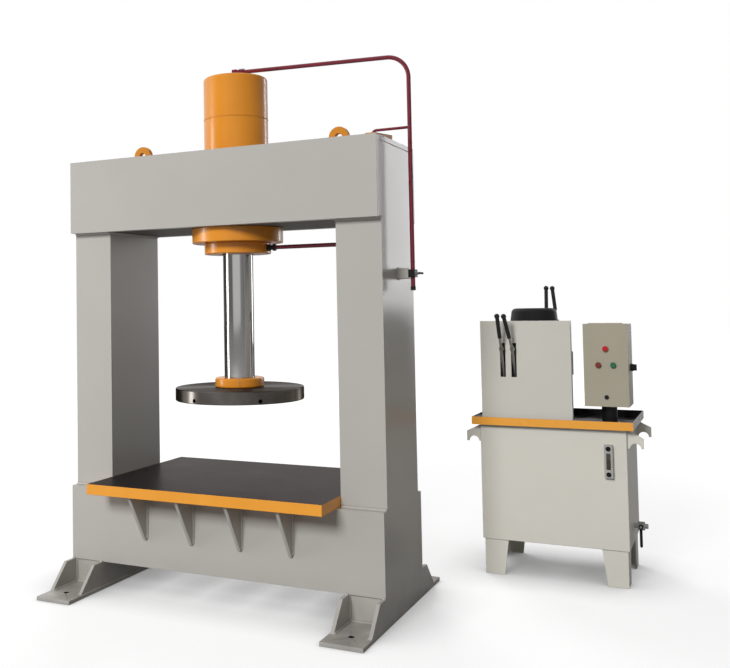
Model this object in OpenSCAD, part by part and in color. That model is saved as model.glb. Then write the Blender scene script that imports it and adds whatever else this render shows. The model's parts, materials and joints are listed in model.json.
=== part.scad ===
// Hydraulic tyre press: a welded H-frame with an overhead cylinder and a table, and the
// free-standing power unit that drives it.
// Millimetres, +Z up, +X to the operator's right, +Y to the back. The origin is on the floor,
// in the middle of the four anchor holes of the press.

/* [Frame] */
// Width over the two uprights
frame_w = 1500; // [1420:10:1800]
// Width of one upright
upright_w = 195; // [180:5:230]
// Depth of one upright
upright_d = 400; // [380:10:460]
// Wall of the box-section uprights
upright_wall = 20; // [12:1:30]
// Thickness of the front and rear plates of base and beam
cheek_t = 40; // [25:1:50]
// Height of the base plates
base_h = 330; // [290:10:400]
// Height of the beam plates
beam_h = 330; // [280:10:400]
// Height of the opening from the base plates up to the beam
throat_h = 1155; // [1155:5:1400]
// Thickness of the plate that closes the beam's top
beam_top_t = 20; // [12:1:30]
// Thickness of the beam's bottom plate, which takes the press force
beam_bottom_t = 40; // [38:1:60]
// Thickness of the plates that tie the base's front and rear together
diaphragm_t = 20; // [12:1:30]

/* [Feet] */
// Height of a foot, from the floor to the base plates
foot_h = 120; // [90:5:160]
// Length of a foot, front to back
foot_l = 990; // [940:10:1100]
// Width of a foot plate
foot_w = 174; // [150:2:180]
// Thickness of a foot plate
foot_plate_t = 16; // [12:1:25]
// Thickness of a foot's side ribs
foot_rib_t = 15; // [10:1:20]
// Level stretch of a rib's top in front of the base plate
foot_ledge = 64; // [40:2:80]
// Floor length of a rib's slope
foot_slope = 98; // [60:2:110]
// Inner rib's distance from the inner edge of the foot plate
foot_rib_inset = 6; // [0:1:20]
// Thickness of the cross walls between the ribs
foot_wall_t = 15; // [10:1:20]
// Cross wall's distance behind the base plate's outer face
foot_wall_back = 10; // [0:1:20]
// Diameter of the anchor holes
anchor_d = 22; // [16:1:40]
// Anchor hole's distance from the end of the foot plate
anchor_from_end = 98; // [60:2:110]

/* [Table] */
// Depth of the table, front to back
table_d = 790; // [740:10:900]
// Thickness of the table plate
table_t = 45; // [30:1:60]
// Gap between the table's ends and the uprights
table_gap = 0.5; // [0.2:0.1:2]
// Gussets under each overhang of the table
gusset_count = 4; // [2:1:5]
// Distance between gussets
gusset_pitch = 234; // [180:2:240]
// Thickness of a gusset
gusset_t = 15; // [10:1:20]
// Reach of a gusset under the table
gusset_l = 128; // [90:2:130]
// Height of a gusset
gusset_h = 208; // [150:2:260]
// Blunt ends of a gusset
gusset_nose = 12; // [4:1:20]

/* [Lifting lugs] */
// Distance between the two lugs
lug_span = 1000; // [800:10:1100]
// Outer radius of a lug
lug_r = 45; // [35:1:55]
// Hole of a lug
lug_hole_d = 32; // [24:1:40]
// Height of the hole above the beam
lug_rise = 40; // [30:1:60]
// Thickness of a lug
lug_t = 25; // [16:1:30]

/* [Cylinder] */
// Outside diameter of the barrel
cyl_od = 290; // [286:1:296]
// Bore of the barrel
cyl_bore = 230; // [224:1:234]
// Diameter of the mounting flange
flange_d = 410; // [406:1:440]
// Thickness of the mounting flange
flange_t = 65; // [62:1:80]
// Stroke of the ram
stroke = 500; // [480:5:520]
// Length of stroke already run out
ram_out = 420; // [380:5:440]
// Free length left at each end of the stroke
end_margin = 22.5; // [10:0.5:40]
// Length of the piston
piston_l = 100; // [80:5:140]
// Thickness of the cap's end
cap_t = 60; // [45:1:90]
// Height of the cap, down to its weld
cap_h = 190; // [150:5:240]
// Rounding of the cap's top edge
cap_round = 12; // [4:1:20]
// Depth of the weld groove between cap and barrel
weld_groove = 3; // [1:0.5:6]
// Chamfer of the flange's, the gland's and the piston's edges
edge_chamfer = 3; // [1:0.5:5]
// Diameter of the gland
gland_d = 300; // [296:1:306]
// Height of the gland below the flange
gland_h = 49; // [40:1:60]
// Height of the gland's spigot inside the barrel
spigot_h = 40; // [30:1:60]
// Radial width of the rod wiper
wiper_w = 9; // [6:0.5:12]
// Height of the rod wiper
wiper_h = 10; // [6:1:16]
// Height of a piston seal
seal_h = 10; // [6:1:16]
// Depth of a piston seal's groove
seal_depth = 8; // [5:0.5:12]
// Clearance of the sliding pieces, on the radius
run_clear = 0.3; // [0.2:0.05:0.5]
// Clearance of seated round pieces, on the radius
seat_clear = 0.1; // [0.05:0.05:0.3]
// Clearance of the barrel in the beam, on the radius
barrel_clear = 0.8; // [0.3:0.1:3]
// Oil port of the cap and the gland
port_d = 11; // [8:1:14]
// Gland port's riser, in from the gland's edge
port_in = 50; // [46:1:60]

/* [Cylinder bolts] */
// Thread of the bolts that hold flange and gland
bolt_d = 16; // [12:1:18]
// Length of the bolts under the head
bolt_l = 80; // [70:1:82]
// Head diameter of the bolts
bolt_head_d = 24; // [20:1:26]
// Head height of the bolts
bolt_head_h = 16; // [10:1:18]
// Depth of the counterbore of a bolt
bolt_sink = 20; // [18:1:24]
// Bolts on each of the two bolt circles
bolt_count = 8; // [6:2:10]
// Radius of the flange's bolt circle
flange_bolt_r = 178; // [174:1:185]
// Radius of the gland's bolt circle
gland_bolt_r = 132; // [130:1:134]

/* [Ram] */
// Diameter of the rod
rod_d = 135; // [128:1:140]
// Length of the rod below the piston
rod_l = 818; // [790:2:900]
// Diameter of the rod's spigot in the piston
rod_spigot_d = 90; // [70:1:100]
// Diameter of the rod's neck, which the collar grips
rod_neck_d = 115; // [105:1:120]
// Diameter of the press disc
disc_d = 575; // [480:5:620]
// Thickness of the press disc
disc_t = 55; // [48:1:80]
// Depth of the rod's seat in the disc
disc_seat = 35; // [20:1:40]
// Chamfer of the disc's edges
disc_chamfer = 3; // [1:0.5:6]
// Tommy holes round the disc's rim
disc_hole_count = 6; // [4:1:8]
// Diameter of a tommy hole
disc_hole_d = 18; // [10:1:22]
// Depth of a tommy hole
disc_hole_depth = 40; // [20:1:60]
// Height of a tommy hole above the disc's face
disc_hole_rise = 14; // [12:1:30]
// Bearing of the first tommy hole
disc_hole_turn = 15; // [0:5:45]
// Diameter of the split collar
collar_d = 220; // [212:1:240]
// Height of the split collar
collar_h = 42; // [40:1:60]
// Rounding of the collar's edges
collar_round = 8; // [3:1:12]
// Gap between the collar's halves
collar_split = 2; // [1:0.5:4]
// Bearing of the collar's gap
collar_turn = -62; // [-90:1:90]
// Height of the collar's lip in the rod's neck
collar_lip_h = 22; // [12:1:24]
// Thread of the collar's bolts
collar_bolt_d = 12; // [8:1:14]
// Radius of the collar's bolt circle
collar_bolt_r = 90; // [88:1:92]
// Head diameter of the collar's bolts
collar_head_d = 18; // [16:1:20]
// Bolts through the split collar
collar_bolt_count = 4; // [4:2:4]

/* [Pipes] */
// Outside diameter of the pipes
pipe_d = 18; // [14:1:20]
// Wall of the pipes
pipe_wall = 2.5; // [1.5:0.5:3.5]
// Height of the pressure pipe above the cap
pipe_rise = 32; // [28:1:60]
// Fall of the pressure pipe's run, in degrees
pipe_tilt = 2; // [0:0.5:4]
// Bend radius of the pressure pipe
pipe_bend_r = 95; // [60:5:140]
// Pipe's distance from the upright that it is clipped to
pipe_off = 62; // [50:1:75]
// Length of the pressure pipe below the beam's underside
pipe_drop = 290; // [240:5:400]
// Clip's height above the pressure pipe's end
clip_rise = 68; // [60:1:120]
// Bend radius of the return pipe
return_bend_r = 40; // [30:1:60]
// Return pipe's reach behind the press's centre plane
return_reach = 250; // [220:5:300]
// Height of a pipe clip along its pipe
clip_h = 32; // [24:1:50]
// Width of a pipe clip
clip_w = 42; // [36:1:50]
// Thickness of a pipe clip
clip_t = 28; // [24:1:34]
// Margin of the welded block behind a clip
clip_pad_over = 6; // [2:1:12]
// Length of the caps on the open pipe ends
end_cap_l = 16; // [10:1:24]
// Wall of the caps on the open pipe ends
end_cap_t = 1.5; // [1:0.5:3]
// Reach of the cap's elbow
elbow_reach = 46; // [40:1:60]
// Width of the cap elbow's body
elbow_w = 24; // [20:1:26]
// Length of the gland's fitting
fitting_l = 40; // [36:1:60]
// Diameter of the neck of the elbow and the gland's fitting
fitting_d = 22; // [21:1:24]
// Length of each hexagon of the gland's fitting
fitting_hex_l = 14; // [10:1:16]
// Lap of the pressure pipe's run over its bend
pipe_lap = 1; // [0.5:0.1:2]
// Growth of the pressure pipe's run over its bend, on the radius
pipe_step = 0.05; // [0.02:0.01:0.1]
// Width across the flats of the elbow's and the fitting's hexagons
nut_flats = 27; // [25:1:30]
// Length of the elbow's nut
nut_l = 26; // [16:1:30]
// Diameter of the stay rod
stay_d = 12; // [8:1:16]
// Height of the stay rod above the beam
stay_rise = 54; // [40:1:80]
// Stay rod's foot, measured in from the upright's outer face
stay_inset = 102; // [90:1:130]
// Bend radius of the stay rod
stay_bend_r = 20; // [12:1:30]
// Length of the cleat on the beam's right end, front to back
cleat_l = 220; // [180:5:240]
// Thickness of the cleat
cleat_t = 40; // [24:1:60]
// Height of the cleat's rear end
cleat_h = 25; // [18:1:40]
// Height of the cleat's front end
cleat_nose = 5; // [3:1:12]
// Cleat's distance from the beam's front and end
cleat_inset = 10; // [4:1:20]

/* [Power unit] */
// Middle of the power unit, to the right of the press's middle
unit_x = 1222; // [1200:2:1500]
// Front of the tank, behind the press's middle
unit_y = 700; // [560:10:900]
// Width of the tank
tank_w = 640; // [620:5:700]
// Depth of the tank
tank_d = 440; // [430:5:500]
// Height of the tank
tank_h = 530; // [500:5:600]
// Sheet of the tank
tank_wall = 4; // [3:0.5:6]
// Height of the legs
leg_h = 160; // [120:5:200]
// Width of a leg at the tank
leg_top = 108; // [90:2:130]
// Width of a leg at the floor
leg_foot = 88; // [60:2:90]
// Sheet of the legs
leg_t = 5; // [3:0.5:8]
// Leg's distance from the tank's sides
leg_inset = 8; // [0:1:20]
// Tray's overhang in front of and beside the tank
tray_over = 32; // [20:1:40]
// Height of the tray's rim
tray_rim = 36; // [25:1:50]
// Sheet of the tray
tray_t = 3; // [2:0.5:5]
// Reach of a lifting ear
ear_l = 68; // [50:1:80]
// Height of a lifting ear at the tank
ear_h = 80; // [64:1:90]
// Thickness of a lifting ear
ear_t = 8; // [5:0.5:12]
// Radius of the notch in a lifting ear
ear_notch_r = 23; // [16:1:26]
// Height of an ear's tip
ear_tip = 46; // [40:1:56]
// Ear's distance from the tank's front and rear
ear_inset = 20; // [10:1:60]

/* [Motor and guard] */
// Height of the motor guard
guard_h = 477; // [420:2:520]
// Depth of the returns folded along the guard's sides
guard_return = 30; // [20:1:60]
// Sheet of the motor guard
guard_t = 2.5; // [1.5:0.5:4]
// Guard's left side, measured in from the tank's left side
guard_inset = 12; // [0:1:20]
// Guard's front, ahead of the tank's front
guard_ahead = 7.5; // [0:0.5:15]
// Diameter of the motor over its fins
motor_d = 234; // [200:2:236]
// Diameter of the motor's core
motor_core_d = 190; // [170:2:194]
// Height of the motor body
motor_h = 396; // [360:2:400]
// Cooling fins round the motor
fin_count = 28; // [16:1:36]
// Thickness of a cooling fin
fin_t = 4; // [3:0.5:6]
// Clear gap between the motor's terminal box and the guard
terminal_clear = 31.5; // [20:0.5:40]
// Diameter of the motor's foot flange
motor_flange_d = 240; // [220:2:240]
// Thickness of the motor's foot flange
motor_flange_t = 16; // [10:1:20]
// Motor's axis, behind the tank's front
motor_back = 235; // [233:1:240]
// Diameter of the fan cover
fan_cover_d = 238; // [236:1:244]
// Height of the fan cover
fan_cover_h = 120; // [100:1:140]
// Sheet of the fan cover
fan_cover_t = 2.5; // [1.5:0.5:4]
// Draw-in of the fan cover's side at its top
fan_cover_draft = 14; // [8:1:16]
// Rounding of the fan cover's top
fan_cover_round = 22; // [8:1:30]
// Slots in the fan cover's top
fan_slots = 16; // [8:1:24]
// Diameter of the motor shaft
shaft_d = 28; // [24:1:32]
// Blades of the cooling fan
fan_blades = 6; // [4:1:9]
// Diameter of the cooling fan
fan_d = 190; // [150:2:210]
// Height of the cooling fan
fan_h = 60; // [40:1:75]
// Fan's height above the motor body
fan_gap = 14; // [8:1:20]
// Width of the fan cover's slots
fan_slot_w = 6; // [4:0.5:8]
// Diameter of the shaft coupling
coupling_d = 80; // [60:1:90]
// Height of the shaft coupling
coupling_h = 60; // [40:1:70]
// Diameter of the pump's bell housing
bell_d = 160; // [140:2:180]
// Height of the pump's bell housing
bell_h = 100; // [90:2:130]
// Bore of the bell housing and the tray below the motor
bell_bore = 110; // [100:2:120]
// Width of the gear pump
pump_w = 110; // [90:2:130]
// Depth of the gear pump
pump_d = 90; // [70:2:120]
// Height of the gear pump
pump_h = 100; // [80:2:120]
// Diameter of the suction strainer
strainer_d = 80; // [60:2:100]
// Strainer's height above the tank's floor
strainer_clear = 40; // [20:2:60]

/* [Valves and levers] */
// Width of a valve block
valve_w = 130; // [110:2:140]
// Depth of a valve block
valve_d = 60; // [50:2:62]
// Height of a valve block
valve_h = 110; // [90:2:120]
// Distance between the two levers of a valve
lever_pitch = 50; // [46:1:54]
// Lever pivot's distance in front of its valve block
pivot_out = 17; // [16:1:20]
// Lever pivot's height above the block's underside
pivot_rise = 50; // [40:1:60]
// Diameter of a lever's rod
lever_d = 12; // [8:1:13]
// Diameter of a lever's eye
eye_d = 24; // [20:1:26]
// Width of a lever's eye
eye_w = 14; // [13:0.5:16]
// Diameter of a lever's pivot pin
pivot_pin_d = 8; // [6:0.5:10]
// Side gap between a lever's eye and its two ears
eye_gap = 0.5; // [0.3:0.1:1]
// Thickness of a lever's ears
pivot_ear_t = 6; // [4:0.5:8]
// Length of a lever from its pivot to its bend
lever_low = 170; // [150:2:180]
// Length of a lever above its bend
lever_high = 165; // [150:2:200]
// Length of a lever's grip
grip_l = 110; // [80:2:120]
// Diameter of a lever's grip
grip_d = 18; // [15:1:22]
// Diameter of a lever's knob
knob_d = 24; // [20:1:28]
// Sideways lean of the front right lever above the bend
front_set = 7; // [0:0.5:8]
// Sideways lean of the rear right lever above the bend
rear_set = 7; // [0:0.5:8]
// Width across the flats of a lever's lock nut
lever_nut_flats = 19; // [16:1:20]
// Height of a lever's lock nut
lever_nut_h = 10; // [8:1:12]
// Forward lean of the front levers
front_lean = 25; // [24:0.5:27]
// Rearward lean of the rear levers
rear_lean = 5; // [0:0.5:12]
// Front levers' pivot behind the guard's front sheet
front_pivot_back = 40; // [38:0.5:41]
// Front levers' pivot above the tray's floor
front_pivot_rise = 197; // [192:1:202]
// Rear levers' pivot above the tray's floor
rear_pivot_rise = 296; // [260:2:340]
// Clear gap between the motor and the rear valve
rear_valve_gap = 8; // [4:1:12]
// Middle of the front valve, from the guard's left side
front_valve_in = 127; // [120:1:140]
// Middle of the rear valve, from the guard's right side
rear_valve_in = 158; // [120:1:160]
// Pedestal's distance from its valve block's front and rear
pedestal_in = 8; // [4:1:12]
// Width of the lever slots in the guard
slot_w = 24; // [20:1:28]
// Height of the lever slots
slot_h = 157; // [152:1:162]
// Lever slot's lower end above the tray's floor
slot_rise = 218; // [214:1:222]

/* [Control box] */
// Width of the control box
box_w = 188; // [180:1:200]
// Height of the control box
box_h = 364; // [340:2:400]
// Depth of the control box
box_d = 170; // [140:2:200]
// Sheet of the control box and its door
box_t = 2.5; // [1.5:0.5:4]
// Control box's overhang beyond the tank's right side
box_over = 16; // [10:1:20]
// Gap between the motor guard and the control box
box_gap = 50; // [40:1:60]
// Front of the control box, behind the tank's front
box_back = 16; // [10:1:30]
// Diameter of the post below the control box
post_d = 66; // [50:1:80]
// Height of the post
post_h = 94; // [70:1:120]
// Diameter of the post's foot
post_foot_d = 120; // [90:1:130]
// Thickness of the post's foot
post_foot_t = 8; // [5:1:12]
// Gap between the door and the box
door_gap = 0.5; // [0.3:0.1:1]
// Depth of the door's top return over the box
door_return = 14; // [10:1:20]
// Radius of the door's hinge barrel
hinge_r = 3.5; // [3:0.1:4.5]
// Radius of the door's hinge pin
hinge_pin_r = 1.75; // [1.25:0.05:2]
// Length of the door's hinge knuckle
knuckle_l = 84; // [60:1:100]
// Length of each hinge knuckle on the box
box_knuckle_l = 30; // [20:1:36]
// Diameter of the push buttons
button_d = 24; // [18:1:28]
// Distance between the two push buttons
button_pitch = 63; // [50:1:80]
// How far a pressed button stands out of its ring
button_proud = 5; // [2:0.5:8]
// Length of the buttons behind the door
button_in = 24; // [16:1:40]
// Travel of the push buttons
button_travel = 4; // [2:0.5:6]
// Width of the ring round a button or lamp
bezel_w = 3; // [2:0.5:4]
// Height of the ring round a button or lamp
bezel_h = 5; // [3:0.5:7]
// Button row's height above the box's underside
button_rise = 185; // [160:1:220]
// Lamp's height above the button row
lamp_rise = 72; // [50:1:90]
// Lock's height above the box's underside
lock_rise = 42; // [36:1:60]
// Diameter of the lock
lock_d = 19; // [16:1:24]
// Length of the lock's cam
cam_l = 24; // [18:1:26]
// Diameter of the main switch knob
switch_d = 32; // [26:1:40]
// Rib's distance from the main switch knob's edge
switch_rib_in = 2; // [1:0.5:4]
// Length of the main switch knob
switch_l = 26; // [18:1:34]
// Main switch's height above the box's underside
switch_rise = 170; // [120:1:240]

/* [Tank fittings] */
// Width of the level gauge
gauge_w = 36; // [28:1:44]
// Height of the level gauge
gauge_h = 146; // [120:1:180]
// Depth of the level gauge
gauge_d = 22; // [16:1:28]
// Width of the gauge's window
window_w = 18; // [10:1:20]
// Height of the gauge's window
window_h = 72; // [50:1:80]
// Gauge's middle, in from the tank's right side
gauge_in = 75; // [50:1:120]
// Gauge's lower end above the tank's floor
gauge_rise = 317; // [260:1:330]
// Drain's height above the tank's floor
drain_rise = 70; // [60:1:120]
// Drain's distance behind the tank's front
drain_back = 220; // [160:5:300]
// Diameter of the drain's pipe
drain_pipe_d = 22; // [16:1:26]
// Width across the flats of the drain valve
drain_flats = 34; // [30:1:40]
// Length of the drain valve's body
drain_body_l = 30; // [24:1:40]
// Length of the drain's pipe at each end of the body
drain_end_l = 14; // [8:1:20]
// Diameter of the drain valve's stem
drain_stem_d = 10; // [8:0.5:14]
// Length of the drain lever
drain_lever_l = 92; // [70:1:95]
// Width of the drain lever
drain_lever_w = 12; // [10:1:16]
// Thickness of the drain lever
drain_lever_t = 4; // [3:0.5:6]
// Diameter of the drain lever's eye
drain_eye_d = 20; // [18:0.5:24]
// Gap between the drain lever and the valve's body
drain_lever_gap = 6; // [3:0.5:8]
// Length of the drain valve's stem beyond its lever
drain_stem_end = 4; // [2:0.5:6]
// Wall of the drain's pipe
drain_pipe_wall = 3; // [2:0.5:5]

/* [Hidden] */
$fn = 64;
through = 1;
grey = "#b5b2ac";
orange = "#ec9a2f";
steel = "#8e8d8b";
dark = "#2b2b2c";
maroon = "#5a1c28";
cream = "#c4c1b7";
beige = "#aaa391";

// Levels and planes of the frame
half_w = frame_w / 2;
upright_in = half_w - upright_w;
upright_y = upright_d / 2;
cheek_y = upright_y + cheek_t;
base_top = foot_h + base_h;
table_top = base_top + table_t;
beam_z = base_top + throat_h;
beam_top = beam_z + beam_h;
rib_ledge_y = cheek_y + foot_ledge;
rib_foot_y = rib_ledge_y + foot_slope;
inner_rib_x = half_w - foot_w + foot_rib_inset;
anchor_x = (inner_rib_x + half_w) / 2;
anchor_y = foot_l / 2 - anchor_from_end;

// Levels of the cylinder and its ram
flange_z = beam_z - flange_t;
gland_z = flange_z - gland_h;
chamber_z = flange_z + spigot_h;
chamber_top = chamber_z + piston_l + stroke + 2 * end_margin;
cap_top = chamber_top + cap_t;
cap_z = cap_top - cap_h;
piston_z = chamber_top - end_margin - ram_out - piston_l;
rod_z = piston_z - rod_l;
disc_top = rod_z + disc_seat;
disc_z = disc_top - disc_t;
neck_z = disc_top + (collar_h - collar_lip_h) / 2;
port_r = gland_d / 2 - port_in;
bolt_turn = 180 / bolt_count;
collar_bolt_turn = 180 / collar_bolt_count;
seal_z = [piston_z + piston_l / 4 - seal_h / 2, piston_z + piston_l * 3 / 4 - seal_h / 2];

// Course of the pressure pipe, in the plane y = 0
pipe_x = half_w + pipe_off;
pipe_start_z = cap_top + pipe_rise;
pipe_run_x = pipe_x - pipe_bend_r + pipe_bend_r * sin(pipe_tilt);
pipe_run_l = pipe_run_x / cos(pipe_tilt) - elbow_reach;
pipe_bend_z = pipe_start_z - pipe_run_x * tan(pipe_tilt) - pipe_bend_r * cos(pipe_tilt);
pipe_end_z = beam_z - pipe_drop;
pipe_bore = pipe_d - 2 * pipe_wall;
return_x = upright_in - pipe_off;
return_z = gland_z + gland_h / 2;
return_start = gland_d / 2 + fitting_l;

// Places on the power unit
tank_x = unit_x - tank_w / 2;
tank_right = unit_x + tank_w / 2;
tank_rear = unit_y + tank_d;
tank_top = leg_h + tank_h;
tray_floor = tank_top + tray_t;
guard_x = tank_x + guard_inset;
guard_w = tank_w + box_over - box_w - box_gap - guard_inset;
guard_y = unit_y - guard_ahead;
motor_x = guard_x + guard_w / 2;
motor_y = unit_y + motor_back;
fan_cover_z = tray_floor + motor_flange_t + motor_h;
fan_z = fan_cover_z + fan_gap;
front_valve_x = guard_x + front_valve_in;
front_pivot_y = guard_y + guard_t + front_pivot_back;
front_pivot_z = tray_floor + front_pivot_rise;
rear_valve_x = guard_x + guard_w - rear_valve_in;
rear_pivot_y = motor_y + fan_cover_d / 2 + rear_valve_gap + valve_d + pivot_out;
rear_pivot_z = tray_floor + rear_pivot_rise;
box_x = tank_right + box_over - box_w / 2;
box_y = unit_y + box_back;
box_z = tray_floor + post_h;
box_top = box_z + box_h;
hinge_y = box_y + door_return;
hinge_z = box_top + hinge_r + run_clear;
button_z = box_z + button_rise;
button_out = bezel_h + button_travel + button_proud;
lamp_z = button_z + lamp_rise;
lock_z = box_z + lock_rise;
door_front = box_y - door_gap - box_t;
switch_y = box_y + box_d / 2;
switch_z = box_z + switch_rise;
gauge_x = tank_right - gauge_in;
gauge_z = leg_h + gauge_rise;
drain_x = tank_right + drain_end_l + drain_body_l / 2;
drain_y = unit_y + drain_back;
drain_z = leg_h + drain_rise;
drain_lever_y = drain_y - drain_flats / 2 - drain_lever_t - drain_lever_gap;

// A box given by its lowest and highest corners
module block(low, high) {
  translate(low)
    cube(high - low);
}

// Stands a profile drawn as (x, z) upright, with its thickness centred on y
module upright_sheet(t) {
  rotate([90, 0, 0])
    linear_extrude(t, center = true)
      children();
}

// Stands a profile drawn as (y, z) upright, with its thickness centred on x
module side_sheet(t) {
  rotate([90, 0, 90])
    linear_extrude(t, center = true)
      children();
}

// A cylinder along +X or +Y from the origin
module along_x(d, l) {
  rotate([0, 90, 0])
    cylinder(d = d, h = l);
}

module along_y(d, l) {
  rotate([-90, 0, 0])
    cylinder(d = d, h = l);
}

// A hexagonal bar, measured across its flats
module hex_bar(flats, l) {
  cylinder(d = flats / cos(30), h = l, $fn = 6);
}

// A turned disc with its upper and lower outer edges chamfered
module chamfered_disc(d, h, c) {
  rotate_extrude()
    polygon([[0, 0], [d / 2 - c, 0], [d / 2, c], [d / 2, h - c], [d / 2 - c, h], [0, h]]);
}

// A ring of places round the Z axis
module ring(count, r, turn) {
  for (i = [0 : count - 1])
    rotate([0, 0, turn + i * 360 / count])
      translate([r, 0, 0])
        children();
}

// The two places of a pipe clip, with its pipe along Z and its wall at x = -pipe_off
module at_clips() {
  translate([pipe_x, 0, pipe_end_z + clip_rise])
    children();
  translate([return_x, upright_y / 2, return_z])
    rotate([90, 180, 0])
      children();
}

// Uprights: closed box columns of welded plate, standing on the feet
module upright() {
  difference() {
    block([upright_in, -upright_y, foot_h], [half_w, upright_y, beam_top - beam_top_t]);
    block([upright_in + upright_wall, -upright_y + upright_wall, foot_h + upright_wall],
          [half_w - upright_wall, upright_y - upright_wall, beam_top - beam_top_t + through]);
  }
}

module left_upright() {
  color(grey)
    mirror([1, 0, 0])
      upright();
}

// The right upright also carries the welded blocks of the pipe clips
module clip_pad() {
  pad_y = clip_w / 2 - clip_pad_over;
  pad_z = clip_h / 2 + clip_pad_over;
  block([-pipe_off - through, -pad_y, -pad_z], [-clip_t / 2, pad_y, pad_z]);
}

module right_upright() {
  color(grey) {
    upright();
    at_clips()
      clip_pad();
  }
}

// Feet: a floor plate with two sloping side ribs, two cross walls and an anchor hole at each end
module foot_rib() {
  side_sheet(foot_rib_t)
    polygon([[-rib_foot_y, foot_plate_t], [rib_foot_y, foot_plate_t], [rib_ledge_y, foot_h],
             [-rib_ledge_y, foot_h]]);
}

module foot() {
  difference() {
    block([half_w - foot_w, -foot_l / 2, 0], [half_w, foot_l / 2, foot_plate_t]);
    for (side = [-1, 1])
      translate([anchor_x, side * anchor_y, -through])
        cylinder(d = anchor_d, h = foot_plate_t + 2 * through);
  }
  translate([half_w - foot_rib_t / 2, 0, 0])
    foot_rib();
  translate([inner_rib_x + foot_rib_t / 2, 0, 0])
    foot_rib();
  for (side = [0, 1])
    mirror([0, side, 0])
      block([inner_rib_x + foot_rib_t, cheek_y - foot_wall_back - foot_wall_t, foot_plate_t],
            [half_w - foot_rib_t, cheek_y - foot_wall_back, foot_h]);
}

module left_foot() {
  color(grey)
    mirror([1, 0, 0])
      foot();
}

module right_foot() {
  color(grey)
    foot();
}

// Base and beam: thick plates welded to the front and rear of the uprights
module cheek(z, h) {
  block([-half_w, -cheek_y, z], [half_w, -upright_y, z + h]);
}

module base_front_plate() {
  color(grey)
    cheek(foot_h, base_h);
}

module base_rear_plate() {
  color(grey)
    mirror([0, 1, 0])
      cheek(foot_h, base_h);
}

module base_diaphragms() {
  color(grey)
    for (i = [0 : gusset_count - 1])
      translate([(i - (gusset_count - 1) / 2) * gusset_pitch, 0, 0])
        block([-diaphragm_t / 2, -upright_y, foot_h], [diaphragm_t / 2, upright_y, base_top]);
}

module beam_front_plate() {
  color(grey)
    cheek(beam_z, beam_h);
}

module beam_rear_plate() {
  color(grey)
    mirror([0, 1, 0])
      cheek(beam_z, beam_h);
}

module barrel_hole() {
  translate([0, 0, beam_z - through])
    cylinder(d = cyl_od + 2 * barrel_clear, h = beam_h + 2 * through);
}

module beam_top_plate() {
  color(grey)
    difference() {
      block([-half_w, -upright_y, beam_top - beam_top_t], [half_w, upright_y, beam_top]);
      barrel_hole();
    }
}

module beam_bottom_plate() {
  color(grey)
    difference() {
      block([-upright_in, -upright_y, beam_z], [upright_in, upright_y, beam_z + beam_bottom_t]);
      barrel_hole();
      translate([0, 0, flange_z + bolt_sink - through])
        ring(bolt_count, flange_bolt_r, bolt_turn)
          cylinder(d = bolt_d + 2 * seat_clear, h = bolt_l + 2 * through);
    }
}

// Table: a thick plate across the base, held by gussets under its front and rear overhangs
module table_plate() {
  color(steel)
    block([-upright_in + table_gap, -table_d / 2, base_top], [upright_in - table_gap, table_d / 2, table_top]);
}

module gusset() {
  side_sheet(gusset_t)
    polygon([[-cheek_y, base_top], [-cheek_y - gusset_l, base_top],
             [-cheek_y - gusset_l, base_top - gusset_nose],
             [-cheek_y - gusset_nose, base_top - gusset_h], [-cheek_y, base_top - gusset_h]]);
}

module table_gussets() {
  color(grey)
    for (i = [0 : gusset_count - 1])
      for (side = [0, 1])
        translate([(i - (gusset_count - 1) / 2) * gusset_pitch, 0, 0])
          mirror([0, side, 0])
            gusset();
}

// Lifting lugs: round-topped plates welded upright on the beam
module lifting_lugs() {
  color(orange)
    for (side = [-1, 1])
      translate([side * lug_span / 2, 0, beam_top])
        upright_sheet(lug_t)
          difference() {
            union() {
              translate([0, lug_rise])
                circle(r = lug_r);
              translate([-lug_r, 0])
                square([2 * lug_r, lug_rise]);
            }
            translate([-lug_r, -lug_r])
              square([2 * lug_r, lug_r]);
            translate([0, lug_rise])
              circle(d = lug_hole_d);
          }
}

// Cylinder: a flanged barrel that bears up under the beam, a welded cap and a bolted gland
module cylinder_barrel() {
  color(orange)
    difference() {
      union() {
        translate([0, 0, flange_z])
          chamfered_disc(flange_d, flange_t, edge_chamfer);
        rotate_extrude()
          polygon([[0, flange_z], [cyl_od / 2, flange_z], [cyl_od / 2, cap_z - weld_groove],
                   [cyl_od / 2 - weld_groove, cap_z], [0, cap_z]]);
      }
      translate([0, 0, flange_z - through])
        cylinder(d = cyl_bore, h = cap_z - flange_z + 2 * through);
      translate([0, 0, flange_z - through])
        ring(bolt_count, gland_bolt_r, bolt_turn)
          cylinder(d = bolt_d + 2 * seat_clear, h = bolt_l - gland_h + bolt_sink + 2 * through);
      translate([0, 0, flange_z - through])
        ring(bolt_count, flange_bolt_r, bolt_turn) {
          cylinder(d = bolt_d + 2 * run_clear, h = flange_t + 2 * through);
          cylinder(d = bolt_head_d + 2 * run_clear, h = bolt_sink + through);
        }
    }
}

module cylinder_cap() {
  color(orange)
    difference() {
      rotate_extrude() {
        polygon([[0, cap_z], [cyl_od / 2 - weld_groove, cap_z], [cyl_od / 2, cap_z + weld_groove],
                 [cyl_od / 2, cap_top - cap_round], [0, cap_top - cap_round]]);
        square_top = cyl_od / 2 - cap_round;
        translate([0, cap_top - cap_round])
          square([square_top, cap_round]);
        intersection() {
          translate([square_top, cap_top - cap_round])
            circle(r = cap_round);
          translate([square_top, cap_top - cap_round])
            square(cap_round);
        }
      }
      translate([0, 0, cap_z - through])
        cylinder(d = cyl_bore, h = chamber_top - cap_z + through);
      translate([0, 0, chamber_top - through])
        cylinder(d = port_d, h = cap_t + 2 * through);
    }
}

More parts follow.
